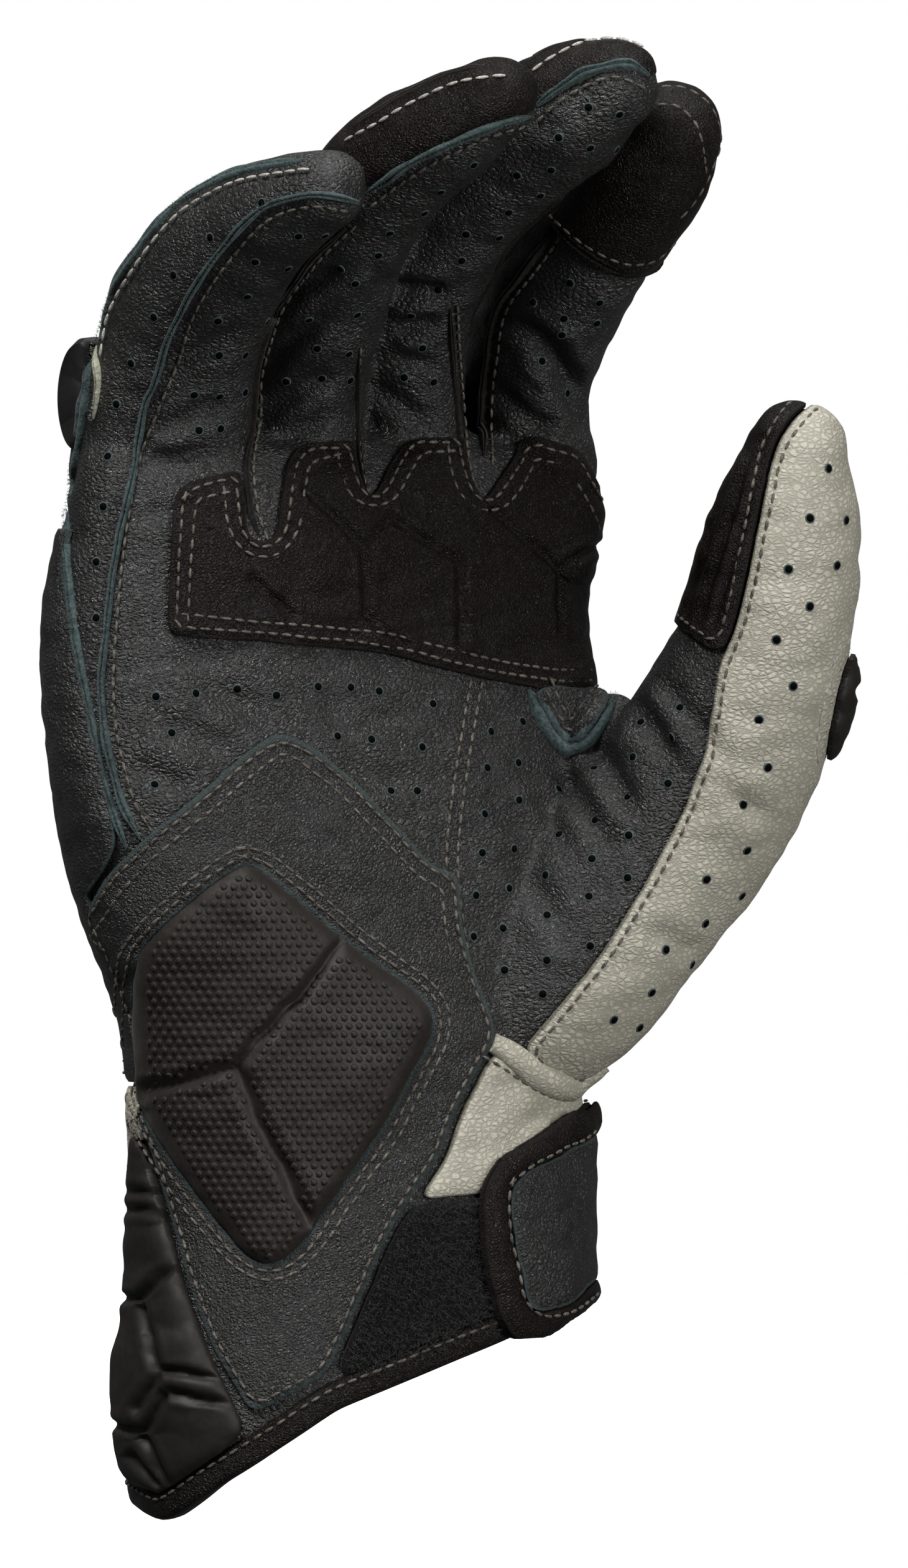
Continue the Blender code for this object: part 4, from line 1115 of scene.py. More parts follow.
@dataclass
class Layer:
    """Sheet of leather or rubber over the skin.

    Args:
        lift: length between the skin and the layer's underside.
        thickness: the layer's own thickness.
        fine: how many times the skin's triangles are divided for it.
        shoulder: length over which its cut edge is rounded down.
        share: share of the thickness that is left right at the edge.
    """

    lift: float = SKIN_LIFT
    thickness: float = PANEL_THICKNESS
    fine: int = 0
    shoulder: float = 0.0007
    share: float = 0.55

    def lay(
        self,
        name: str,
        surface: Surface,
        region: Field,
        relief: Optional[Field] = None,
    ) -> bpy.types.Object:
        """Closed piece over the part of a surface that lies in a region.

        Args:
            name: the piece's name.
            surface: what it lies on.
            region: where it lies, as a distance inside its border.
            relief: extra height at each point of the surface.

        Returns:
            The piece, with its points' distance from the border in the attribute "edge".
        """
        patch = surface.near(region, CUT_MARGIN)
        for _ in range(self.fine):
            patch = patch.refined().near(region, CUT_MARGIN)
        patch = patch.clipped(region)
        inside = np.maximum(region(patch.points), 0.0)
        height = self.thickness * (1.0 - (1.0 - self.share) * np.exp(-inside / self.shoulder))
        if relief is not None:
            height = height + relief(patch.points) * (1.0 - np.exp(-inside / self.shoulder))
        top = patch.points + patch.normals * (self.lift + height)[:, None]
        base = patch.points + patch.normals * self.lift
        return closed_sheet(name, top, base, patch.triangles, inside)


def closed_sheet(
    name: str, top: np.ndarray, base: np.ndarray, triangles: np.ndarray, inside: np.ndarray
) -> bpy.types.Object:
    """Closed mesh between two copies of a surface, with walls along its open edges."""
    count = len(top)
    open_edges = rims(triangles)
    a, b = open_edges[:, 0], open_edges[:, 1]
    faces = np.vstack(
        [
            triangles,
            triangles[:, ::-1] + count,
            np.column_stack([b, a, a + count]),
            np.column_stack([b, a + count, b + count]),
        ]
    )
    piece = add_mesh(name, np.vstack([top, base]), faces)
    return edged(piece, np.concatenate([inside, np.full(count, UNDERSIDE)]))


def sweep(
    name: str,
    points: np.ndarray,
    normals: np.ndarray,
    profile: Sequence[Tuple[float, float]],
    closed: bool = False,
    sizes: Optional[np.ndarray] = None,
) -> bpy.types.Object:
    """Piece with one profile along a line on the skin.

    Args:
        name: the piece's name.
        points: the line's points.
        normals: the skin's normals there.
        profile: corners across the line and out from the skin, in metres.
        closed: whether the line ends where it starts.
        sizes: the profile's scale at each point.

    Returns:
        The closed piece.
    """
    if closed:
        tangents = unit(np.roll(points, -1, axis=0) - np.roll(points, 1, axis=0))
    else:
        tangents = unit(np.gradient(points, axis=0))
    side = unit(np.cross(tangents, normals))
    lift = np.cross(side, tangents)
    scale = np.ones(len(points)) if sizes is None else sizes
    shape = np.array(profile)
    rings = [
        p + k * (np.outer(shape[:, 0], s) + np.outer(shape[:, 1], n))
        for p, s, n, k in zip(points, side, lift, scale)
    ]
    made, triangles = loft(rings, closed)
    return edged(add_mesh(name, made, triangles), np.full(len(made), UNCUT))


def edged(piece: bpy.types.Object, values: np.ndarray) -> bpy.types.Object:
    """The piece with its points' distance from the cut border, and sharp corners kept."""
    mark = piece.data.attributes.new("edge", "FLOAT", "POINT")
    mark.data.foreach_set("value", values.astype(np.float32))
    piece.data.set_sharp_from_angle(angle=SHARP_ANGLE)
    return piece


def oval_profile(wide: float, tall: float, rise: float, sides: int, roundness: float) -> Points2:
    """Oval profile of half a width and half a height, raised off its line."""
    return [(wide * x, rise + tall * y) for x, y in oval(sides, roundness)]


class Nodes:
    """Small helper that adds and links a tree's nodes."""

    def __init__(self, tree: bpy.types.NodeTree) -> None:
        """Keeps the tree."""
        self.tree = tree

    def add(self, kind: str, links: Optional[dict] = None, **settings) -> bpy.types.Node:
        """Adds a node.

        Args:
            kind: the node's type.
            links: what each input gets, a socket or a value, by the input's name or index.
            settings: properties of the node.

        Returns:
            The node.
        """
        node = self.tree.nodes.new(kind)
        for key, value in settings.items():
            setattr(node, key, value)
        for key, value in (links or {}).items():
            if isinstance(value, bpy.types.NodeSocket):
                self.tree.links.new(value, node.inputs[key])
            else:
                node.inputs[key].default_value = value
        return node

    def math(self, operation: str, first, second=0.0, clamp: bool = False) -> bpy.types.NodeSocket:
        """Output of a Math node."""
        links = {0: first, 1: second}
        return self.add("ShaderNodeMath", links, operation=operation, use_clamp=clamp).outputs[0]

    def spread(self, value, low: float, high: float, to_low: float = 0.0, to_high: float = 1.0):
        """Output of a smooth Map Range node."""
        links = {"Value": value, "From Min": low, "From Max": high, "To Min": to_low, "To Max": to_high}
        return self.add("ShaderNodeMapRange", links, interpolation_type="SMOOTHSTEP").outputs["Result"]

    def mix(self, share, first, second) -> bpy.types.NodeSocket:
        """Output of a colour Mix node."""
        node = self.tree.nodes.new("ShaderNodeMix")
        node.data_type = "RGBA"
        for key, value in ((0, share), (6, first), (7, second)):
            if isinstance(value, bpy.types.NodeSocket):
                self.tree.links.new(value, node.inputs[key])
            else:
                node.inputs[key].default_value = (*value, 1.0) if isinstance(value, tuple) else value
        return node.outputs[2]

    def noise(self, place, scale: float, detail: float = 3.0, rough: float = 0.55) -> bpy.types.NodeSocket:
        """Output of a Noise texture."""
        links = {"Vector": place, "Scale": scale, "Detail": detail, "Roughness": rough}
        return self.add("ShaderNodeTexNoise", links).outputs["Fac"]


def new_material(name: str) -> Tuple[bpy.types.Material, Nodes, bpy.types.Node]:
    """Material with its tree's helper and its shader."""
    material = bpy.data.materials.new(name)
    material.use_nodes = True
    nodes = Nodes(material.node_tree)
    return material, nodes, material.node_tree.nodes["Principled BSDF"]


@dataclass(frozen=True)
class LeatherFinish:
    """Grained leather with a raw cut edge, and shade painted into the grain's creases.

    Args:
        name: the material's name.
        base: the leather's colour.
        pale: the colour where it is rubbed or stretched.
        raw: the colour of its cut edge.
        pebble: height of one grain cell.
        draw: how much wider than high the cells are.
        bump: height of the grain.
        rough: its mean roughness.
        gloss: level of its reflection.
        edge: width of the raw edge that shows from above.
    """

    name: str
    base: Colour
    pale: Colour
    raw: Colour
    pebble: float = 0.00078
    draw: float = 1.6
    bump: float = 0.00030
    rough: float = 0.39
    gloss: float = 0.55
    edge: float = 0.00035

    def make(self) -> bpy.types.Material:
        """Builds the material."""
        material, nodes, shader = new_material(self.name)
        place = nodes.add("ShaderNodeTexCoord").outputs["Object"]
        squeeze = (1.0 / self.draw, 1.0 / self.draw, 1.0)
        flat = nodes.add(
            "ShaderNodeVectorMath", {0: place, 1: squeeze}, operation="MULTIPLY"
        ).outputs[0]
        drift = nodes.add(
            "ShaderNodeTexNoise", {"Vector": place, "Scale": 260.0, "Detail": 3.0}
        ).outputs["Color"]
        bent = nodes.add(
            "ShaderNodeVectorMath", {0: drift, "Scale": self.pebble * 1.6}, operation="SCALE"
        ).outputs[0]
        bent = nodes.add("ShaderNodeVectorMath", {0: flat, 1: bent}, operation="ADD").outputs[0]
        cells = nodes.add(
            "ShaderNodeTexVoronoi", {"Vector": bent, "Scale": 1.0 / self.pebble}, feature="DISTANCE_TO_EDGE"
        ).outputs["Distance"]
        small = nodes.add(
            "ShaderNodeTexVoronoi", {"Vector": bent, "Scale": 2.6 / self.pebble}, feature="DISTANCE_TO_EDGE"
        ).outputs["Distance"]
        crease = nodes.spread(cells, 0.0, 0.34)
        fine = nodes.spread(small, 0.0, 0.34)
        patches = nodes.noise(place, 70.0, 4.0)
        stretch = nodes.spread(patches, 0.32, 0.66)
        grain = nodes.math("MULTIPLY", crease, nodes.math("ADD", nodes.math("MULTIPLY", stretch, 0.6), 0.4))
        height = nodes.math("ADD", grain, nodes.math("MULTIPLY", fine, 0.30))
        height = nodes.math("ADD", height, nodes.math("MULTIPLY", nodes.noise(place, 4200.0, 2.0), 0.25))
        mark = nodes.add("ShaderNodeAttribute", attribute_name="edge").outputs["Fac"]
        ragged = nodes.math("MULTIPLY", nodes.noise(place, 1500.0, 2.0), self.edge)
        cut = nodes.spread(nodes.math("SUBTRACT", mark, ragged), -0.00005, self.edge * 0.8, 1.0, 0.0)
        tone = nodes.mix(nodes.spread(patches, 0.30, 0.72), self.base, self.pale)
        # Painted shade: the grain's creases, at the cells' edges, are darkened towards this darker copy of the
        # base colour.
        shade = tuple(0.45 * c for c in self.base)
        tone = nodes.mix(nodes.math("MULTIPLY", nodes.math("SUBTRACT", 1.0, crease), 0.55), tone, shade)
        fuzz = nodes.spread(nodes.noise(place, 1900.0, 4.0, 0.7), 0.3, 0.75)
        raw = nodes.mix(fuzz, tuple(0.55 * c for c in self.raw), tuple(min(1.0, 1.35 * c) for c in self.raw))
        tone = nodes.mix(cut, tone, raw)
        nodes.tree.links.new(tone, shader.inputs["Base Color"])
        shine = nodes.spread(nodes.noise(place, 420.0, 3.0), 0.3, 0.7, self.rough - 0.09, self.rough + 0.10)
        shine = nodes.math("ADD", shine, nodes.math("MULTIPLY", cut, 0.4), clamp=True)
        nodes.tree.links.new(shine, shader.inputs["Roughness"])
        shader.inputs["Specular IOR Level"].default_value = self.gloss
        height = nodes.math("ADD", height, nodes.math("MULTIPLY", cut, nodes.math("MULTIPLY", fuzz, 1.5)))
        bump = nodes.add("ShaderNodeBump", {"Height": height, "Strength": 0.85, "Distance": self.bump})
        nodes.tree.links.new(bump.outputs["Normal"], shader.inputs["Normal"])
        return material


@dataclass(frozen=True)
class MatteFinish:
    """Rubber, plastic, thread or napped cloth with one fine noise over it.

    Args:
        name: the material's name.
        base: its colour.
        pale: its colour in patches.
        rough: its mean roughness.
        scale: how fine the noise is, in waves for each metre.
        bump: height of the noise.
        sheen: weight of its sheen.
        gloss: level of its reflection.
    """

    name: str
    base: Colour
    pale: Colour
    rough: float
    scale: float
    bump: float
    sheen: float = 0.0
    gloss: float = 0.3

    def make(self) -> bpy.types.Material:
        """Builds the material."""
        material, nodes, shader = new_material(self.name)
        place = nodes.add("ShaderNodeTexCoord").outputs["Object"]
        fine = nodes.noise(place, self.scale, 4.0, 0.6)
        patches = nodes.noise(place, self.scale * 0.06, 3.0)
        cloudy = nodes.spread(patches, 0.25, 0.75, 0.4, 1.0)
        share = nodes.math("MULTIPLY", nodes.spread(fine, 0.3, 0.7), cloudy)
        nodes.tree.links.new(nodes.mix(share, self.base, self.pale), shader.inputs["Base Color"])
        shine = nodes.spread(patches, 0.3, 0.7, self.rough - 0.08, min(1.0, self.rough + 0.08))
        nodes.tree.links.new(shine, shader.inputs["Roughness"])
        shader.inputs["Sheen Weight"].default_value = self.sheen
        shader.inputs["Sheen Roughness"].default_value = 0.5
        shader.inputs["Specular IOR Level"].default_value = self.gloss
        bump = nodes.add("ShaderNodeBump", {"Height": fine, "Strength": 0.8, "Distance": self.bump})
        nodes.tree.links.new(bump.outputs["Normal"], shader.inputs["Normal"])
        return material


TEAL = (0.046, 0.066, 0.066)
CHARCOAL = LeatherFinish("charcoal_grain", (0.0165, 0.0156, 0.0153), (0.0310, 0.0292, 0.0282), TEAL)
DARK_CHARCOAL = LeatherFinish(
    "dark_charcoal_grain", (0.0150, 0.0140, 0.0134), (0.0260, 0.0243, 0.0231), TEAL,
    pebble=0.00066, draw=1.25, edge=0.0008,
)
GREIGE = LeatherFinish(
    "greige_grain", (0.440, 0.414, 0.337), (0.525, 0.498, 0.412), (0.200, 0.190, 0.150), pebble=0.00085,
    bump=0.00017, rough=0.46, gloss=0.35,
)
BLACK = LeatherFinish(
    "black_grain", (0.0050, 0.0032, 0.0026), (0.0110, 0.0074, 0.0058), (0.012, 0.009, 0.008), pebble=0.00055,
    draw=1.2, bump=0.00021, rough=0.32, gloss=0.19,
)
RUBBER = MatteFinish("black_rubber", (0.0100, 0.0088, 0.0080), (0.0160, 0.0142, 0.0130), 0.58, 900.0, 0.00004)
PAD = MatteFinish(
    "pad_rubber", (0.0100, 0.0074, 0.0056), (0.0220, 0.0168, 0.0128), 0.60, 1400.0, 0.00008, 0.05,
)
LOOP = MatteFinish(
    "loop_nap", (0.0022, 0.0021, 0.0021), (0.0085, 0.0082, 0.0080), 0.95, 2600.0, 0.0004, 0.1, 0.1,
)
# The loop field's fibres, lighter than the field they stand on: partly the fabric's own colour, partly a
# painted highlight on the curls.
NAP = MatteFinish(
    "loop_fibre", (0.0060, 0.0055, 0.0053), (0.030, 0.028, 0.027), 0.6, 2600.0, 0.0001, 0.1, 0.4,
)
SHELL = MatteFinish("guard_plastic", (0.0085, 0.0080, 0.0080), (0.0130, 0.0125, 0.0125), 0.50, 600.0, 0.00002)
HOLE = MatteFinish(
    "hole_shadow", (0.0012, 0.0012, 0.0012), (0.002, 0.002, 0.002), 0.95, 900.0, 0.00002, 0.0, 0.05,
)
# Dark thread whose pale colour, mixed in by fine noise, is a painted highlight: the glints on the thread's
# twist.
DARK_THREAD = MatteFinish(
    "dark_thread_painted_glints", (0.022, 0.018, 0.014), (0.200, 0.178, 0.145), 0.45, 2200.0, 0.0001, 0.1,
)
PALE_THREAD = MatteFinish(
    "pale_thread", (0.220, 0.210, 0.185), (0.660, 0.640, 0.590), 0.42, 2200.0, 0.0001, 0.1,
)
SUEDE = MatteFinish("raw_suede", (0.030, 0.044, 0.044), (0.092, 0.128, 0.128), 0.92, 1300.0, 0.0005, 0.1, 0.1)
PALE_SUEDE = MatteFinish("pale_suede", (0.24, 0.24, 0.18), (0.52, 0.52, 0.42), 0.92, 1300.0, 0.0005, 0.1, 0.1)
DARK_SUEDE = MatteFinish(
    "dark_suede", (0.007, 0.006, 0.0052), (0.022, 0.019, 0.016), 0.88, 1300.0, 0.0005, 0.1, 0.1,
)


class Materials:
    """Every finish's material, made once."""

    def __init__(self) -> None:
        """Starts empty."""
        self.made: Dict[str, bpy.types.Material] = {}

    def get(self, finish) -> bpy.types.Material:
        """A finish's material."""
        if finish.name not in self.made:
            self.made[finish.name] = finish.make()
        return self.made[finish.name]


MATERIALS = Materials()


class Slot(Enum):
    """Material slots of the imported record."""

    CHARCOAL = "charcoal_leather"
    GREIGE = "greige_leather"
    BLACK = "black_leather"
    RUBBER = "black_rubber"
    PAD = "pad_rubber"
    LOOP = "loop_fabric"
    SHELL = "guard_shell"


def dress(piece: bpy.types.Object, finish, nodes: Sequence[str] = ()) -> None:
    """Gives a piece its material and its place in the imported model.

    Args:
        piece: the piece.
        finish: its finish.
        nodes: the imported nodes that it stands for.
    """
    piece.data.materials.clear()
    piece.data.materials.append(MATERIALS.get(finish))
    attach(piece, "root")
    if nodes:
        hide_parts(*nodes)
    LOG.info("%s: %d triangles", piece.name, len(piece.data.polygons))


def plain_mesh(piece: bpy.types.Object) -> bpy.types.Object:
    """The piece with what its modifiers make as its own mesh."""
    bpy.context.view_layer.update()
    graph = bpy.context.evaluated_depsgraph_get()
    mesh = bpy.data.meshes.new_from_object(piece.evaluated_get(graph))
    piece.modifiers.clear()
    old = piece.data
    piece.data = mesh
    bpy.data.meshes.remove(old)
    mesh.name = piece.name
    return piece


class Repeat(Enum):
    """What a row or a field of small shapes is made of."""

    STITCH = "stitch"
    STUD = "stud"
    HOLE = "hole"
    RIM = "rim"
    FIBRE = "fibre"


def repeat_tree(kind: Repeat) -> Tuple[bpy.types.NodeTree, Dict[str, str]]:
    """Geometry Nodes tree that puts one small shape along a line or on every point.

    Args:
        kind: the small shape.

    Returns:
        The tree, and the identifier of each named input.
    """
    tree = bpy.data.node_groups.new(f"{kind.value}_run", "GeometryNodeTree")
    face = tree.interface
    face.new_socket("Geometry", in_out="INPUT", socket_type="NodeSocketGeometry")
    names = {}
    for name, default in (("Pitch", 0.0024), ("Length", 0.0019), ("Radius", 0.0003)):
        socket = face.new_socket(name, in_out="INPUT", socket_type="NodeSocketFloat")
        socket.default_value = default
        names[name] = socket.identifier
    socket = face.new_socket("Material", in_out="INPUT", socket_type="NodeSocketMaterial")
    names["Material"] = socket.identifier
    face.new_socket("Geometry", in_out="OUTPUT", socket_type="NodeSocketGeometry")
    nodes = Nodes(tree)
    given = nodes.add("NodeGroupInput").outputs
    geometry = given["Geometry"]
    outward = nodes.add("GeometryNodeInputNamedAttribute", {"Name": "outward"}, data_type="FLOAT_VECTOR")
    scale = nodes.add("ShaderNodeCombineXYZ", {0: given["Radius"], 1: given["Radius"], 2: given["Radius"]})
    turn = nodes.add("FunctionNodeAlignRotationToVector", {"Vector": outward.outputs["Attribute"]}, axis="Z")
    if kind is Repeat.STITCH:
        line = nodes.add("GeometryNodeMeshToCurve", {"Mesh": geometry}).outputs["Curve"]
        even = nodes.add(
            "GeometryNodeResampleCurve", {"Curve": line, "Length": given["Pitch"]}, mode="LENGTH"
        )
        geometry = even.outputs["Curve"]
        tangent = nodes.add("GeometryNodeInputTangent").outputs["Tangent"]
        turn = nodes.add(
            "FunctionNodeAlignRotationToVector",
            {"Rotation": turn.outputs["Rotation"], "Vector": tangent},
            axis="X",
            pivot_axis="Z",
        )
        shape = nodes.add(
            "GeometryNodeMeshUVSphere", {"Segments": 6, "Rings": 5, "Radius": 1.0}
        ).outputs["Mesh"]
        half = nodes.math("MULTIPLY", given["Length"], 0.5)
        scale = nodes.add("ShaderNodeCombineXYZ", {0: given["Radius"], 1: given["Radius"], 2: half})
        shape = nodes.add(
            "GeometryNodeTransform",
            {"Geometry": shape, "Rotation": (0.0, math.pi / 2.0, 0.0), "Scale": scale.outputs[0]},
        ).outputs["Geometry"]
    elif kind is Repeat.STUD:
        shape = nodes.add(
            "GeometryNodeMeshCone",
            {"Vertices": 6, "Side Segments": 1, "Radius Top": 0.62, "Radius Bottom": 1.0, "Depth": 0.42},
        ).outputs["Mesh"]
    elif kind is Repeat.HOLE:
        shape = nodes.add(
            "GeometryNodeMeshCylinder", {"Vertices": 14, "Radius": 1.0, "Depth": 0.5}
        ).outputs["Mesh"]
    elif kind is Repeat.RIM:
        circle = "GeometryNodeCurvePrimitiveCircle"
        ring = nodes.add(circle, {"Resolution": 14, "Radius": 1.12}).outputs["Curve"]
        wire = nodes.add(circle, {"Resolution": 5, "Radius": 0.26}).outputs["Curve"]
        shape = nodes.add("GeometryNodeCurveToMesh", {"Curve": ring, "Profile Curve": wire}).outputs["Mesh"]
    else:
        shape = nodes.add(
            "GeometryNodeMeshCone",
            {"Vertices": 3, "Side Segments": 1, "Radius Top": 0.0, "Radius Bottom": 1.0, "Depth": 1.0},
        ).outputs["Mesh"]
        scale = nodes.add("ShaderNodeCombineXYZ", {0: given["Radius"], 1: given["Radius"], 2: given["Length"]})
    if kind is not Repeat.STITCH:
        shape = nodes.add(
            "GeometryNodeTransform", {"Geometry": shape, "Scale": scale.outputs[0]}
        ).outputs["Geometry"]
    repeats = nodes.add(
        "GeometryNodeInstanceOnPoints",
        {"Points": geometry, "Instance": shape, "Rotation": turn.outputs["Rotation"]},
    ).outputs["Instances"]
    real = nodes.add("GeometryNodeRealizeInstances", {"Geometry": repeats}).outputs["Geometry"]
    done = nodes.add("GeometryNodeSetMaterial", {"Geometry": real, "Material": given["Material"]})
    nodes.add("NodeGroupOutput", {0: done.outputs["Geometry"]})
    return tree, names


@dataclass
class Run:
    """Points or lines on the skin that carry small shapes."""

    points: List[np.ndarray] = field(default_factory=list)
    normals: List[np.ndarray] = field(default_factory=list)

    def add(self, points: np.ndarray, normals: np.ndarray, lift: float) -> None:
        """Adds a line, or loose points, a lift off the skin."""
        self.points.append(points + normals * lift)
        self.normals.append(normals)

    def make(
        self, name: str, kind: Repeat, finish, pitch: float = 0.0024, length: float = 0.0019,
        radius: float = 0.0003, slot: Optional[Slot] = None,
    ) -> None:
        """Builds the shapes as one piece.

        Args:
            name: the piece's name.
            kind: the small shape.
            finish: its finish.
            pitch: length from one stitch to the next.
            length: length of a stitch or a fibre.
            radius: half the shape's width.
            slot: the record's material slot; not used.
        """
        mesh = bpy.data.meshes.new(name)
        edges, start = [], 0
        for line in self.points:
            if kind is Repeat.STITCH:
                edges += [(start + k, start + k + 1) for k in range(len(line) - 1)]
            start += len(line)
        mesh.from_pydata(np.vstack(self.points).tolist(), edges, [])
        mark = mesh.attributes.new("outward", "FLOAT_VECTOR", "POINT")
        mark.data.foreach_set("vector", np.vstack(self.normals).astype(np.float32).ravel())
        piece = bpy.data.objects.new(name, mesh)
        bpy.context.scene.collection.objects.link(piece)
        tree, inputs = repeat_tree(kind)
        step = piece.modifiers.new(kind.value, "NODES")
        step.node_group = tree
        step[inputs["Pitch"]] = pitch
        step[inputs["Length"]] = length
        step[inputs["Radius"]] = radius
        step[inputs["Material"]] = MATERIALS.get(finish)
        plain_mesh(piece)
        piece.data.shade_smooth()
        dress(piece, finish)


# How far behind the hand's middle plane the fingers' black sides and the strap's edging reach
WALL_REACH = 0.006
STRAP_WRAP = 0.004


def grooves(lines: Sequence[Points2], depth: float, width: float, lip: float = 0.3) -> Field:
    """Relief of grooves along lines of the front view.

    Args:
        lines: runs of points in grid squares.
        depth: how deep the groove is.
        width: half its width.
        lip: share of the depth that its sides rise.

    Returns:
        The height at each point.
    """
    spans = [
        (np.array([across(a[0]), up(a[1])]), np.array([across(b[0]), up(b[1])]))
        for line in lines
        for a, b in zip(line, line[1:])
    ]

    def relief(points: np.ndarray) -> np.ndarray:
        """Height at each point."""
        flat = points[:, [0, 2]]
        best = np.full(len(points), 1.0)
        for a, b in spans:
            e = b - a
            t = np.clip((flat - a) @ e / (e @ e), 0.0, 1.0)
            best = np.minimum(best, np.linalg.norm(flat - a - t[:, None] * e, axis=1))
        return depth * (lip * np.exp(-((best / width - 2.0) ** 2)) - np.exp(-((best / width) ** 2)))

    return relief


def inset_lines(drawn: Points2, inset: float) -> List[np.ndarray]:
    """Runs of points of the front view that follow an outline a length inside it."""
    ring = rounded(placed(drawn), CORNER)
    along = unit(np.roll(ring, -1, axis=0) - np.roll(ring, 1, axis=0))
    inward = np.column_stack([-along[:, 1], along[:, 0]])
    region = outline(drawn)
    if region(upright(ring + inward * abs(inset))).mean() < 0.0:
        inward = -inward
    moved = ring + inward * inset
    good = np.abs(region(upright(moved)) - inset) < INSET_SLACK * abs(inset)
    moved = np.roll(moved, -int(np.argmin(good)), axis=0) if not good.all() else moved
    good = np.roll(good, -int(np.argmin(good))) if not good.all() else good
    runs, run = [], []
    for place, keep in zip(moved, good):
        if keep:
            run.append(place)
        elif run:
            runs.append(np.array(run))
            run = []
    if run:
        runs.append(np.array(run + [run[0]]) if good.all() else np.array(run))
    return [smoothed(r, 2) for r in runs if len(r) > 4]


def edge_profile(wide: float, tall: float) -> Points2:
    """Profile of two raw leather edges side by side, with a slit between them."""
    half = [(1.0, -0.3), (1.0, 0.72), (0.72, 1.0), (0.34, 1.0), (0.08, 0.62)]
    right = [(wide * x, tall * y) for x, y in half]
    return right + [(-x, y * 0.92) for x, y in right[::-1]]


@dataclass
class Glove:
    """What every sub-assembly shares: the skin and the runs of stitches and holes."""

    skin: Skin = field(default_factory=Skin)
    dark_stitches: Run = field(default_factory=Run)
    pale_stitches: Run = field(default_factory=Run)
    holes: Run = field(default_factory=Run)
    teal_fibres: Run = field(default_factory=Run)
    pale_fibres: Run = field(default_factory=Run)
    loop_fibres: Run = field(default_factory=Run)

    def on_skin(self, places: np.ndarray) -> Pair:
        """Points and normals of the skin's front at places in metres of the front view."""
        points, normals = zip(*(self.skin.drop(x, z) for x, z in places))
        return np.array(points), np.array(normals)

    def panel(
        self, name: str, region: Field, finish, slot: Slot, node: str, relief: Optional[Field] = None,
        part: Optional[str] = None, **layer,
    ) -> bpy.types.Object:
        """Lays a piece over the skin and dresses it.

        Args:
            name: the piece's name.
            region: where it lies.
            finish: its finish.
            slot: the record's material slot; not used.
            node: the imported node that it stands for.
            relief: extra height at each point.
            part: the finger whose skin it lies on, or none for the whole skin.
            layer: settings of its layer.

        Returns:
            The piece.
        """
        surface = self.skin.parts[part] if part else self.skin.surface
        piece = Layer(**layer).lay(name, surface, region, relief)
        dress(piece, finish, [node])
        return piece

    def stitch_line(
        self, drawn: Points2, lift: float, pale: bool = False, back: bool = False, part: str = "all"
    ) -> None:
        """Sews along a drawn line of the front view."""
        points, normals = self.skin.trace(drawn, STITCH_STEP, part, back)
        run = self.pale_stitches if pale else self.dark_stitches
        run.add(points, normals, lift)

    def stitch_border(
        self, drawn: Points2, insets: Sequence[float], lift: float, keep: Optional[Field] = None,
        pale: bool = False,
    ) -> None:
        """Sews rows inside an outline's border, where the keep field allows it."""
        for inset in insets:
            for line in inset_lines(drawn, inset):
                points, normals = self.on_skin(line)
                facing = normals[:, 1] < FACING
                if keep is not None:
                    facing &= keep(points) > 0.0
                starts = np.flatnonzero(np.diff(np.concatenate([[0], facing.astype(int), [0]])))
                for first, last in zip(starts[::2], starts[1::2]):
                    if last - first > 3:
                        run = self.pale_stitches if pale else self.dark_stitches
                        smooth = smoothed(points[first:last], 2)
                        run.add(smooth, unit(smoothed(normals[first:last], 2)), lift)

    def punch(self, places: Points2, lift: float) -> None:
        """Adds perforations at places of the front view in grid squares."""
        self.holes.add(*self.on_skin(placed(places)), lift)

    def welt(
        self, name: str, drawn: Points2, finish, wide: float, tall: float, part: str = "all", seed: int = 0
    ) -> None:
        """Raw seam edge that stands up along a drawn line."""
        points, normals = self.skin.trace(drawn, WELT_STEP, part)
        random = np.random.default_rng(seed)
        uneven = smoothed(random.normal(0.0, 1.0, (len(points), 1)), 6)[:, 0]
        uneven = 1.0 + 0.30 * uneven / max(np.abs(uneven).max(), 1e-6)
        ends = np.minimum(np.arange(len(points)), np.arange(len(points))[::-1]) / 5.0
        sizes = uneven * np.clip(0.3 + 0.7 * ends, 0.3, 1.0)
        piece = sweep(name, points, normals, edge_profile(wide, tall), sizes=sizes)
        dress(piece, finish)
        if finish is SUEDE or finish is PALE_SUEDE:
            run = self.teal_fibres if finish is SUEDE else self.pale_fibres
            self.fray(run, points, normals, wide, tall, seed)

    def fray(
        self, run: Run, points: np.ndarray, normals: np.ndarray, wide: float, tall: float, seed: int,
        density: int = 9,
    ) -> None:
        """Scatters short fibres over a standing edge."""
        random = np.random.default_rng(seed)
        tangents = unit(np.gradient(points, axis=0))
        side = unit(np.cross(tangents, normals))
        pick = random.integers(0, len(points), density * len(points))
        lean = random.uniform(-1.0, 1.0, (len(pick), 1))
        rise = np.sqrt(1.0 - 0.8 * lean**2)
        place = points[pick] + side[pick] * wide * lean + normals[pick] * tall * (0.85 * rise)
        aim = normals[pick] * rise + side[pick] * lean + 0.8 * random.normal(0.0, 1.0, (len(pick), 3))
        run.add(place, unit(aim), 0.0)


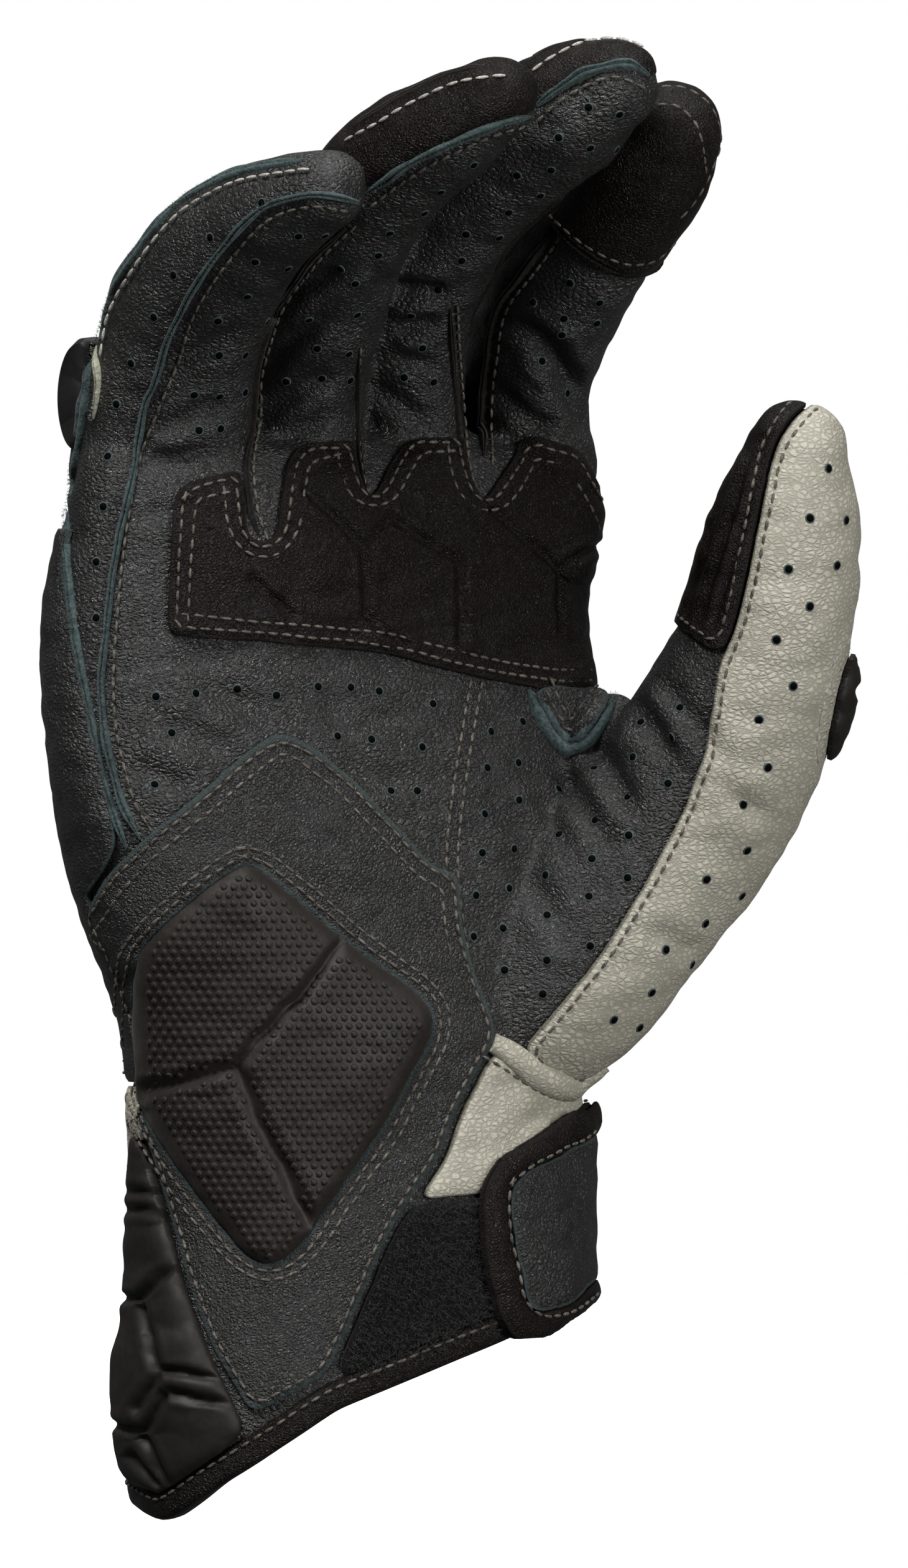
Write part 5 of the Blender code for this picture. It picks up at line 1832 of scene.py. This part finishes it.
@dataclass
class Hand:
    """Leather shell of the palm, the fingers and the thumb, with its raw seams."""

    glove: Glove
    welt_width: float = 0.0006
    welt_height: float = 0.0011

    def build(self) -> None:
        """Makes the shells, the seams between them and their perforations."""
        for name, part in self.glove.skin.parts.items():
            piece = closed_sheet(
                name + "_leather",
                part.points,
                part.points - part.normals * LEATHER_WALL,
                part.triangles,
                np.full(len(part.points), UNCUT),
            )
            dress(piece, CHARCOAL, [name])
        self.sides()
        self.seams()
        for places in (FINGER_HOLES, STRIP_HOLES, PALM_HOLES, THUMB_HOLES):
            self.glove.punch(places, 0.0)

    def sides(self) -> None:
        """Black leather between the ring and middle fingers' seams, and on the index and middle fingers' sides
        in the gap between them, where the black also stands in for the shade in that gap.
        """
        sides = (
            ("ring_side", "ring_finger", RING_SIDE), ("middle_side", "middle_finger", MIDDLE_SIDE),
            ("index_side_black_and_shade", "index_finger", INDEX_WALL), ("middle_wall_black_and_shade", "middle_finger", MIDDLE_WALL),
        )
        for title, name, drawn in sides:
            layer = Layer(lift=0.0, thickness=0.0005, shoulder=0.0004, share=0.2)
            region = all_of(outline(drawn), before(WALL_REACH)) if name == "index_finger" else outline(drawn)
            piece = layer.lay(title, self.glove.skin.parts[name], region)
            dress(piece, BLACK)

    def seams(self) -> None:
        """Standing raw edges and the stitches beside them."""
        glove, wide, tall = self.glove, self.welt_width, self.welt_height
        edges = (
            ("little_ridge", LITTLE_RIDGE, SUEDE, 1.0, 1.0, 1),
            ("outer_edge", OUTER_EDGE, SUEDE, 1.0, 1.0, 2),
            ("outer_strip", OUTER_STRIP, SUEDE, 1.9, 0.9, 9),
            ("pale_strip", PALE_STRIP, PALE_SUEDE, 0.7, 1.0, 10),
            ("little_seam", LITTLE_SEAM, DARK_SUEDE, 0.8, 0.7, 3),
            ("ring_ridge", RING_RIDGE, SUEDE, 1.3, 1.1, 4),
            ("ring_seam", RING_SEAM, DARK_SUEDE, 0.8, 0.7, 5),
            ("middle_ridge", MIDDLE_RIDGE, SUEDE, 1.3, 1.1, 6),
            ("middle_seam", MIDDLE_SEAM, DARK_SUEDE, 0.8, 0.7, 7),
            ("index_seam", INDEX_SEAM, DARK_SUEDE, 1.0, 1.0, 8),
        )
        for name, line, finish, breadth, height, seed in edges:
            glove.welt(name, line, finish, wide * breadth, tall * height, seed=seed)
        rows = (
            LITTLE_STITCHES, RING_STITCHES, MIDDLE_STITCHES, shifted(LITTLE_SEAM, 1.1), RING_SEAM,
            shifted(MIDDLE_SEAM, 1.1),
        )
        for line in rows:
            glove.stitch_line(line, 0.0003)
        glove.stitch_line(shifted(INDEX_SEAM, 1.4, -0.3), 0.0002)
        outer_rows = (
            ("little_finger", LITTLE_OUTER_STITCHES), ("ring_finger", RING_OUTER_STITCHES),
            ("middle_finger", MIDDLE_OUTER_STITCHES),
        )
        for k, (finger, line) in enumerate(outer_rows):
            glove.stitch_line(line, 0.0007, pale=True, part=finger)
            finish, breadth = (SUEDE, 1.7) if k == 0 else (DARK_SUEDE, 1.0)
            rim = shifted(line, -0.7, 1.7)
            glove.welt(f"outer_rim_{k}", rim, finish, wide * breadth, tall * 0.7, part=finger, seed=12 + k)
        for shift in (-0.9, 0.9):
            glove.stitch_line(shifted(PALM_SEAM, shift), 0.0002)


@dataclass
class Palm:
    """Embossed patch under the fingers, the crotch's tab, the heel's frame and the gripper pad."""

    glove: Glove
    patch_rows: Tuple[float, float] = (0.0013, 0.0034)
    frame_row: float = 0.0012
    pad_crown: float = 0.0016
    pad_reach: float = 0.0060
    stud_pitch: float = 0.00172
    stud_radius: float = 0.00074

    def build(self) -> None:
        """Makes the four panels and what is sewn on them."""
        glove = self.glove
        region = all_of(outline(PALM_PATCH), before(0.0), self.facing)
        glove.panel("palm_patch_leather", region, BLACK, Slot.BLACK, "palm_patch", self.crumple, fine=1)
        glove.stitch_border(PALM_PATCH, self.patch_rows, PANEL_TOP)
        glove.panel(
            "crotch_tab_leather", all_of(outline(CROTCH_TAB), before(0.004)), CHARCOAL, Slot.CHARCOAL,
            "crotch_tab", lift=SECOND_LIFT - PANEL_THICKNESS, fine=1,
        )
        glove.welt("crotch_edge", CROTCH_EDGE, SUEDE, 0.0016, 0.0017, seed=15)
        for rise in (1.9, 3.6):
            row = [(34.0 + (x - 34.0) * (1.0 - 0.06 * rise), z + rise) for x, z in CROTCH_EDGE[1:-1]]
            glove.stitch_line(row, SECOND_LIFT)
        region = all_of(
            outline(HEEL_OVERLAY), before(0.002), above_hem(BINDING_HEIGHT + GAP),
            outside(outline(GRIPPER_PAD), -0.0004),
        )
        glove.panel("heel_overlay_leather", region, DARK_CHARCOAL, Slot.CHARCOAL, "heel_overlay")
        keep = above_hem(BINDING_HEIGHT + 0.002)
        glove.stitch_border(HEEL_OVERLAY, (self.frame_row,), PANEL_TOP, keep)
        upper = all_of(keep, lambda points: points[:, 2] - up(70.0))
        glove.stitch_border(HEEL_OVERLAY, (self.frame_row + 0.0022,), PANEL_TOP, upper)
        self.pad()

    def facing(self, points: np.ndarray) -> np.ndarray:
        """Region of the palm's own side between the fingers' bases."""
        return middle_depth(points) - 0.004 - points[:, 1] + np.maximum(up(137.0) - points[:, 2], 0.0)

    def crumple(self, points: np.ndarray) -> np.ndarray:
        """Pressed grooves of the patch, with the soft crumples of worn leather between them."""
        folds = waves(points, (110.0, 60.0, 190.0))
        return grooves(PATCH_GROOVES, 0.0008, 0.0008)(points) + 0.0006 * (np.abs(folds) - 0.2)

    def pad(self) -> None:
        """Padded gripper pad with sewn channels and rows of studs."""
        region = all_of(outline(GRIPPER_PAD, grow=-GAP), before(0.0))
        channels = grooves(PAD_CHANNELS, 0.0017, 0.0012, lip=0.1)
        inside = outline(GRIPPER_PAD)

        def crown(points: np.ndarray) -> np.ndarray:
            """Height of the padding between its seams."""
            depth = np.maximum(inside(points), 0.0)
            return self.pad_crown * (1.0 - np.exp(-depth / self.pad_reach)) + channels(points)

        pad = self.glove.panel(
            "gripper_pad_leather", region, PAD, Slot.PAD, "gripper_pad", crown,
            thickness=PAD_THICKNESS, fine=1, shoulder=0.0012, share=0.45,
        )
        self.studs(pad, inside)
        for inset in (-0.0013, -0.0028):
            for line in inset_lines(GRIPPER_PAD, inset):
                self.glove.dark_stitches.add(*self.glove.on_skin(line), PANEL_TOP)

    def studs(self, pad: bpy.types.Object, inside: Field) -> None:
        """Rows of small raised studs over the pad."""
        low = np.array([across(-38.0), up(18.0)])
        high = np.array([across(13.0), up(87.0)])
        row_pitch = self.stud_pitch * 0.82
        places = []
        for row in range(int((high[1] - low[1]) / row_pitch)):
            for column in range(int((high[0] - low[0]) / self.stud_pitch)):
                x = low[0] + (column + 0.5 * (row % 2)) * self.stud_pitch
                places.append((x, 0.0, low[1] + row * row_pitch))
        places = np.array(places)
        channel = grooves(PAD_CHANNELS, 1.0, 0.0012, lip=0.0)
        places = places[(inside(places) > 0.0016) & (channel(places) > -0.45)]
        mesh = pad.data
        co = np.array([v.co for v in mesh.vertices])
        faces = np.array([p.vertices[:] for p in mesh.polygons])
        tree = BVHTree.FromPolygons(co.tolist(), faces.tolist())
        points, normals = [], []
        for x, _, z in places:
            hit, normal, _, _ = tree.ray_cast(Vector((x, -GLOVE_DEPTH, z)), Vector((0.0, 1.0, 0.0)))
            if hit is not None:
                points.append(hit)
                normals.append(normal)
        run = Run()
        run.add(np.array(points), np.array(normals), -0.00005)
        run.make("pad_studs", Repeat.STUD, PAD, radius=self.stud_radius, slot=Slot.PAD)


@dataclass
class Thumb:
    """Greige outer panel, pleated tip and rubber guard of the thumb."""

    glove: Glove
    pleats: int = 7
    guard_height: float = 0.0022
    pit_radius: float = 0.0011

    def build(self) -> None:
        """Makes the three panels over the thumb."""
        glove, top = self.glove, PANEL_TOP
        glove.panel("thumb_outer_leather", outline(THUMB_OUTER), GREIGE, Slot.GREIGE, "thumb_outer_panel")
        tip = outline(THUMB_TIP)
        glove.panel("thumb_tip_leather", tip, BLACK, Slot.BLACK, "thumb_tip_patch", self.pleat_relief, fine=1)
        glove.panel(
            "thumb_guard_rubber", outline(THUMB_GUARD), RUBBER, Slot.RUBBER, "thumb_guard", self.pits,
            lift=SECOND_LIFT, thickness=self.guard_height, fine=2, shoulder=0.0006, share=0.35,
        )
        glove.stitch_border(THUMB_OUTER, (0.0013,), top)
        glove.stitch_border(THUMB_TIP, (0.0013,), top)
        glove.stitch_border(THUMB_GUARD, (-0.0018,), top, pale=True)
        for line in inset_lines(THUMB_GUARD, -0.0006):
            points, normals = glove.on_skin(line)
            seen = normals[:, 1] < 0.2
            places = points[seen] + normals[seen] * top
            glove.fray(glove.pale_fibres, places, normals[seen], 0.0004, 0.0003, 21, 5)
        glove.punch(GREIGE_HOLES, top)

    def pits(self, points: np.ndarray) -> np.ndarray:
        """Round pits pressed into the guard."""
        flat = points[:, [0, 2]]
        best = np.min([np.linalg.norm(flat - (across(x), up(z)), axis=1) for x, z in GUARD_PITS], axis=0)
        return -0.0010 * np.clip(1.4 - best / self.pit_radius, 0.0, 0.8) / 0.8

    def pleat_relief(self, points: np.ndarray) -> np.ndarray:
        """Lengthwise pleats, fading towards the tip and the seam."""
        lean = points[:, 0] - 0.30 * (points[:, 2] - up(120.0))
        wave = np.cos(lean * 2.0 * math.pi * self.pleats / 0.016)
        fade = np.exp(-(((points[:, 2] - up(136.0)) / 0.014) ** 2))
        return 0.00045 * wave * fade


@dataclass
class Cuff:
    """Cuff panels, the loop field, the strap, the rubber gauntlet and the bound hem."""

    glove: Glove
    roll_radius: float = 0.0027
    binding_out: float = 0.0016
    binding_in: float = 0.0030
    nap_count: int = 9000

    def build(self) -> None:
        """Makes the pieces round the wrist."""
        glove = self.glove
        above = above_hem(BINDING_HEIGHT + GAP)
        gauntlet = all_of(outline(GAUNTLET), before(GAUNTLET_WRAP))
        region = any_of(
            all_of(outline(CUFF_BACK), behind(GAP)),
            all_of(outline(CUFF_FRONT), before(WRAP)),
            all_of(outline(CUFF_SLIVER), before(WRAP)),
        )
        region = all_of(region, outside(gauntlet, GAP), above)
        glove.panel("cuff_leather", region, GREIGE, Slot.GREIGE, "cuff_panel")
        region = all_of(outline(LOOP_FIELD), before(0.0), above)
        glove.panel("loop_field", region, LOOP, Slot.LOOP, "loop_panel")
        self.nap()
        glove.panel(
            "gauntlet_rubber", all_of(gauntlet, above), RUBBER, Slot.RUBBER, "gauntlet_panel",
            grooves(GAUNTLET_GROOVES, 0.0013, 0.0008, lip=0.15),
            thickness=RUBBER_THICKNESS, fine=1, shoulder=0.0010,
        )
        self.strap()
        self.roll()
        self.binding()

    def nap(self) -> None:
        """Curled fibres that stand up from the loop field."""
        random = np.random.default_rng(31)
        low, high = np.array(LOOP_FIELD).min(0), np.array(LOOP_FIELD).max(0)
        drawn = random.uniform(low, high, (self.nap_count, 2))
        flat = np.column_stack([drawn[:, 0] * across(1.0), drawn[:, 1] * up(1.0)])
        region = outline(LOOP_FIELD)
        flat = flat[region(upright(flat)) > 0.0004]
        points, normals = self.glove.on_skin(flat)
        aim = unit(normals + 0.9 * random.normal(0.0, 1.0, normals.shape))
        self.glove.loop_fibres.add(points + normals * PANEL_TOP, aim, 0.0)

    def strap(self) -> None:
        """Strap with its inset and the piping round it."""
        region = any_of(all_of(outline(STRAP_FRONT), before(WRAP)), all_of(outline(STRAP_BACK), behind(0.0)))
        panel, inset = self.glove.panel, outline(STRAP_INSET)
        panel(
            "strap_leather", region, BLACK, Slot.BLACK, "wrist_strap",
            lift=SECOND_LIFT, thickness=STRAP_THICKNESS,
        )
        panel(
            "strap_inset_leather", all_of(inset, before(STRAP_WRAP)), CHARCOAL, Slot.CHARCOAL, "strap_inset",
            lift=STRAP_TOP_LIFT, thickness=STRAP_INSET_THICKNESS,
        )
        panel(
            "strap_edging_leather", all_of(outline(STRAP_FRONT), outside(inset, GAP), before(STRAP_WRAP)),
            BLACK, Slot.BLACK, "strap_edging",
            lift=STRAP_TOP_LIFT, thickness=STRAP_EDGE_THICKNESS, fine=1, shoulder=0.0010, share=0.3,
        )
        self.glove.stitch_border(STRAP_INSET, (-0.0010,), STRAP_TOP_LIFT + STRAP_EDGE_THICKNESS * 0.95)

    def roll(self) -> None:
        """Thick folded seam between the thumb's panel and the strap."""
        points, normals = self.glove.skin.trace(CUFF_ROLL, 0.0008)
        share = np.linspace(0.0, 1.0, len(points))
        sizes = 0.55 + 0.45 * np.sin(np.pi * np.clip(share, 0.03, 0.97)) ** 0.5
        profile = oval_profile(self.roll_radius, self.roll_radius * 0.75, 0.0012, 16, 2.0)
        piece = sweep("cuff_roll", points, normals, profile, sizes=sizes)
        dress(piece, GREIGE)
        self.glove.stitch_line(CUFF_ROLL_STITCHES, PANEL_TOP)

    def binding(self) -> None:
        """Folded binding over the hem's edge, all the way round."""
        shell = self.glove.skin.surface.clipped(above_hem(BINDING_HEIGHT * 0.5)).main_part()
        loop = rim_loops(shell.triangles)[0]
        points, normals = shell.points[loop], shell.normals[loop]
        length = np.linalg.norm(np.roll(points, -1, axis=0) - points, axis=1)
        reach = np.concatenate([[0.0], np.cumsum(length)])
        even = np.linspace(0.0, reach[-1], int(reach[-1] / 0.0012), endpoint=False)
        ring = np.vstack([points, points[:1]])
        ring_normals = np.vstack([normals, normals[:1]])
        points = np.column_stack([np.interp(even, reach, ring[:, k]) for k in range(3)])
        normals = unit(np.column_stack([np.interp(even, reach, ring_normals[:, k]) for k in range(3)]))
        points, normals = smoothed(points, 3, True), unit(smoothed(normals, 6, True))
        half_out = (self.binding_out + self.binding_in) / 2.0
        shift = (self.binding_out - self.binding_in) / 2.0
        profile = oval_profile(BINDING_HEIGHT / 2.0, half_out, shift, 20, 4.0)
        piece = sweep("hem_binding_leather", points, normals, profile, closed=True)
        dress(piece, BLACK, ["hem_binding"])
        tangents = unit(np.roll(points, -1, axis=0) - np.roll(points, 1, axis=0))
        side = unit(np.cross(tangents, normals))
        if side[:, 2].mean() < 0.0:
            side = -side
        row = points + side * BINDING_HEIGHT * 0.28
        row, normals = np.vstack([row, row[:1]]), np.vstack([normals, normals[:1]])
        self.glove.dark_stitches.add(row, normals, self.binding_out)


@dataclass
class Back:
    """Leather back of the hand, the hard guard over the knuckles and the index finger's cap."""

    glove: Glove

    def build(self) -> None:
        """Makes the back's pieces."""
        glove, finger = self.glove, "index_finger"
        region = any_of(all_of(outline(BACK_FIELD), behind(GAP)), all_of(outline(BACK_STRIP), before(WRAP)))
        glove.panel("back_leather", region, CHARCOAL, Slot.CHARCOAL, "back_panel")
        self.guard()
        glove.panel("index_cap_leather", outline(INDEX_CAP), BLACK, Slot.BLACK, "index_tip_cap", part=finger)
        glove.welt("cap_fold", CAP_FOLD, BLACK, 0.0010, 0.0017, part=finger, seed=11)
        for line in (CAP_ROW_OUTER, CAP_ROW_INNER, shifted(CAP_SEAM, 0.0, 2.6)):
            glove.stitch_line(line, PANEL_TOP, part=finger)
        for line in (BACK_TOP_ROW, BACK_LOW_ROW):
            for drop in (0.0, -1.8):
                glove.stitch_line(shifted(line, 0.0, drop), PANEL_TOP, back=True)
        glove.stitch_line(STRAP_BACK_ROW, SECOND_LIFT + STRAP_THICKNESS, back=True)
        for name, line in FINGER_BACK_ROWS.items():
            glove.stitch_line(line, 0.0002, back=True, part=name)

    def guard(self) -> None:
        """Moulded guard over the knuckles."""
        table = [Ring(x, z, y, KNUCKLE_RADIUS / KNUCKLE_DEPTH, 1.0) for x, z, y in KNUCKLE_LINE]
        bar = Stall(table, 2.0 * KNUCKLE_DEPTH)
        points, triangles = loft(bar.rings())
        form = Surface(points, vertex_normals(points, triangles), triangles)
        region = all_of(outline(KNUCKLE_FIELD), behind(KNUCKLE_SETBACK))
        shell = Layer(lift=0.0, thickness=GUARD_THICKNESS, fine=1, shoulder=0.0012, share=0.4).lay(
            "knuckle_guard_shell", form, region, self.ribs
        )
        dress(shell, SHELL, ["knuckle_guard"])

    def ribs(self, points: np.ndarray) -> np.ndarray:
        """A smooth boss over each knuckle, with a sunk channel between one and the next."""
        out = np.zeros(len(points))
        for place in GUARD_CHANNELS:
            out -= 0.0016 * np.exp(-(((points[:, 0] - across(place)) / 0.0016) ** 2))
        return out


@dataclass
class Studio:
    """Camera, pale floor and soft lights."""

    pixel: float = GLOVE_WIDTH / (10.0 * GRID_ACROSS)
    image: Tuple[int, int] = (1460, 2520)
    centre: Tuple[float, float] = (14.5, 97.0)
    distance: float = 3.0
    sensor: float = 36.0
    ambient: float = 0.08
    floor_reach: float = 2.8
    floor_height: float = -0.06

    def build(self) -> None:
        """Makes the studio."""
        self.camera()
        self.floor()
        self.light("key_light", (-0.7, -1.25, 2.0), 0.8, 62.0)
        self.light("fill_light", (1.5, -1.7, 0.4), 1.1, 40.0)
        self.light("rim_light", (0.3, 0.5, 1.7), 0.8, 10.0)
        self.light("back_light", (-0.9, 2.1, 1.3), 1.2, 60.0).visible_glossy = False
        self.world()
        bpy.context.scene.view_settings.view_transform = "Standard"

    def world(self) -> None:
        """White surroundings that the camera sees, and that light the glove only a little."""
        world = bpy.data.worlds.new("studio_world")
        world.use_nodes = True
        nodes = Nodes(world.node_tree)
        back = world.node_tree.nodes["Background"]
        back.inputs["Color"].default_value = (1.0, 1.0, 1.0, 1.0)
        seen = nodes.add("ShaderNodeLightPath").outputs["Is Camera Ray"]
        strength = nodes.add(
            "ShaderNodeMapRange", {"Value": seen, "To Min": self.ambient, "To Max": 1.0}
        ).outputs["Result"]
        nodes.tree.links.new(strength, back.inputs["Strength"])
        bpy.context.scene.world = world

    def camera(self) -> None:
        """Level camera in front of the palm, far enough for an almost flat view."""
        data = bpy.data.cameras.new("camera")
        data.sensor_width = self.sensor
        data.sensor_fit = "AUTO"
        data.lens = self.sensor * self.distance / (self.image[1] * self.pixel)
        camera = bpy.data.objects.new("camera", data)
        camera.location = (across(self.centre[0]), -self.distance, up(self.centre[1]))
        camera.rotation_euler = (math.pi / 2.0, 0.0, 0.0)
        bpy.context.scene.collection.objects.link(camera)
        bpy.context.scene.camera = camera

    def floor(self) -> None:
        """Wide white floor below the glove."""
        angles = np.arange(64) * math.pi / 32.0
        ring = np.column_stack([np.cos(angles), np.sin(angles), np.zeros(64)]) * self.floor_reach
        ring[:, 2] = self.floor_height
        mesh = bpy.data.meshes.new("studio_floor")
        mesh.from_pydata(ring.tolist(), [], [list(range(64))])
        floor = bpy.data.objects.new("studio_floor", mesh)
        bpy.context.scene.collection.objects.link(floor)
        white = MatteFinish("studio_white", (0.90, 0.90, 0.90), (0.93, 0.93, 0.93), 0.9, 4.0, 0.00001).make()
        shader = white.node_tree.nodes["Principled BSDF"]
        shader.inputs["Emission Color"].default_value = (1.0, 1.0, 1.0, 1.0)
        shader.inputs["Emission Strength"].default_value = 0.75
        floor.visible_glossy = False
        floor.visible_diffuse = False
        floor.data.materials.append(white)

    def light(
        self, name: str, place: Tuple[float, float, float], size: float, power: float
    ) -> bpy.types.Object:
        """Square soft light that faces the glove."""
        data = bpy.data.lights.new(name, "AREA")
        data.size = size
        data.energy = power
        lamp = bpy.data.objects.new(name, data)
        lamp.location = place
        aim = Vector((across(self.centre[0]), 0.0, up(self.centre[1]))) - Vector(place)
        lamp.rotation_euler = aim.to_track_quat("-Z", "Y").to_euler()
        bpy.context.scene.collection.objects.link(lamp)
        return lamp


def main() -> None:
    """Builds the glove's pieces in order, then the studio."""
    logging.basicConfig(level=logging.INFO, format="%(name)s: %(message)s")
    glove = Glove()
    glove.skin.build()
    LOG.info("skin: %d triangles", len(glove.skin.surface.triangles))
    for part in (Hand(glove), Palm(glove), Thumb(glove), Cuff(glove), Back(glove)):
        part.build()
    glove.dark_stitches.make("dark_stitches", Repeat.STITCH, DARK_THREAD)
    glove.pale_stitches.make("pale_stitches", Repeat.STITCH, PALE_THREAD, pitch=0.0027, length=0.0024)
    glove.holes.make("hole_shadows", Repeat.HOLE, HOLE, radius=0.00066)
    glove.holes.make("hole_rims", Repeat.RIM, SUEDE, radius=0.00066)
    glove.teal_fibres.make("teal_fibres", Repeat.FIBRE, SUEDE, length=0.0006, radius=0.00005)
    glove.pale_fibres.make("pale_fibres", Repeat.FIBRE, PALE_SUEDE, length=0.0005, radius=0.00004)
    glove.loop_fibres.make("loop_fibres", Repeat.FIBRE, NAP, length=0.0015, radius=0.00007, slot=Slot.LOOP)
    Studio().build()


if __name__ == "__main__":
    main()
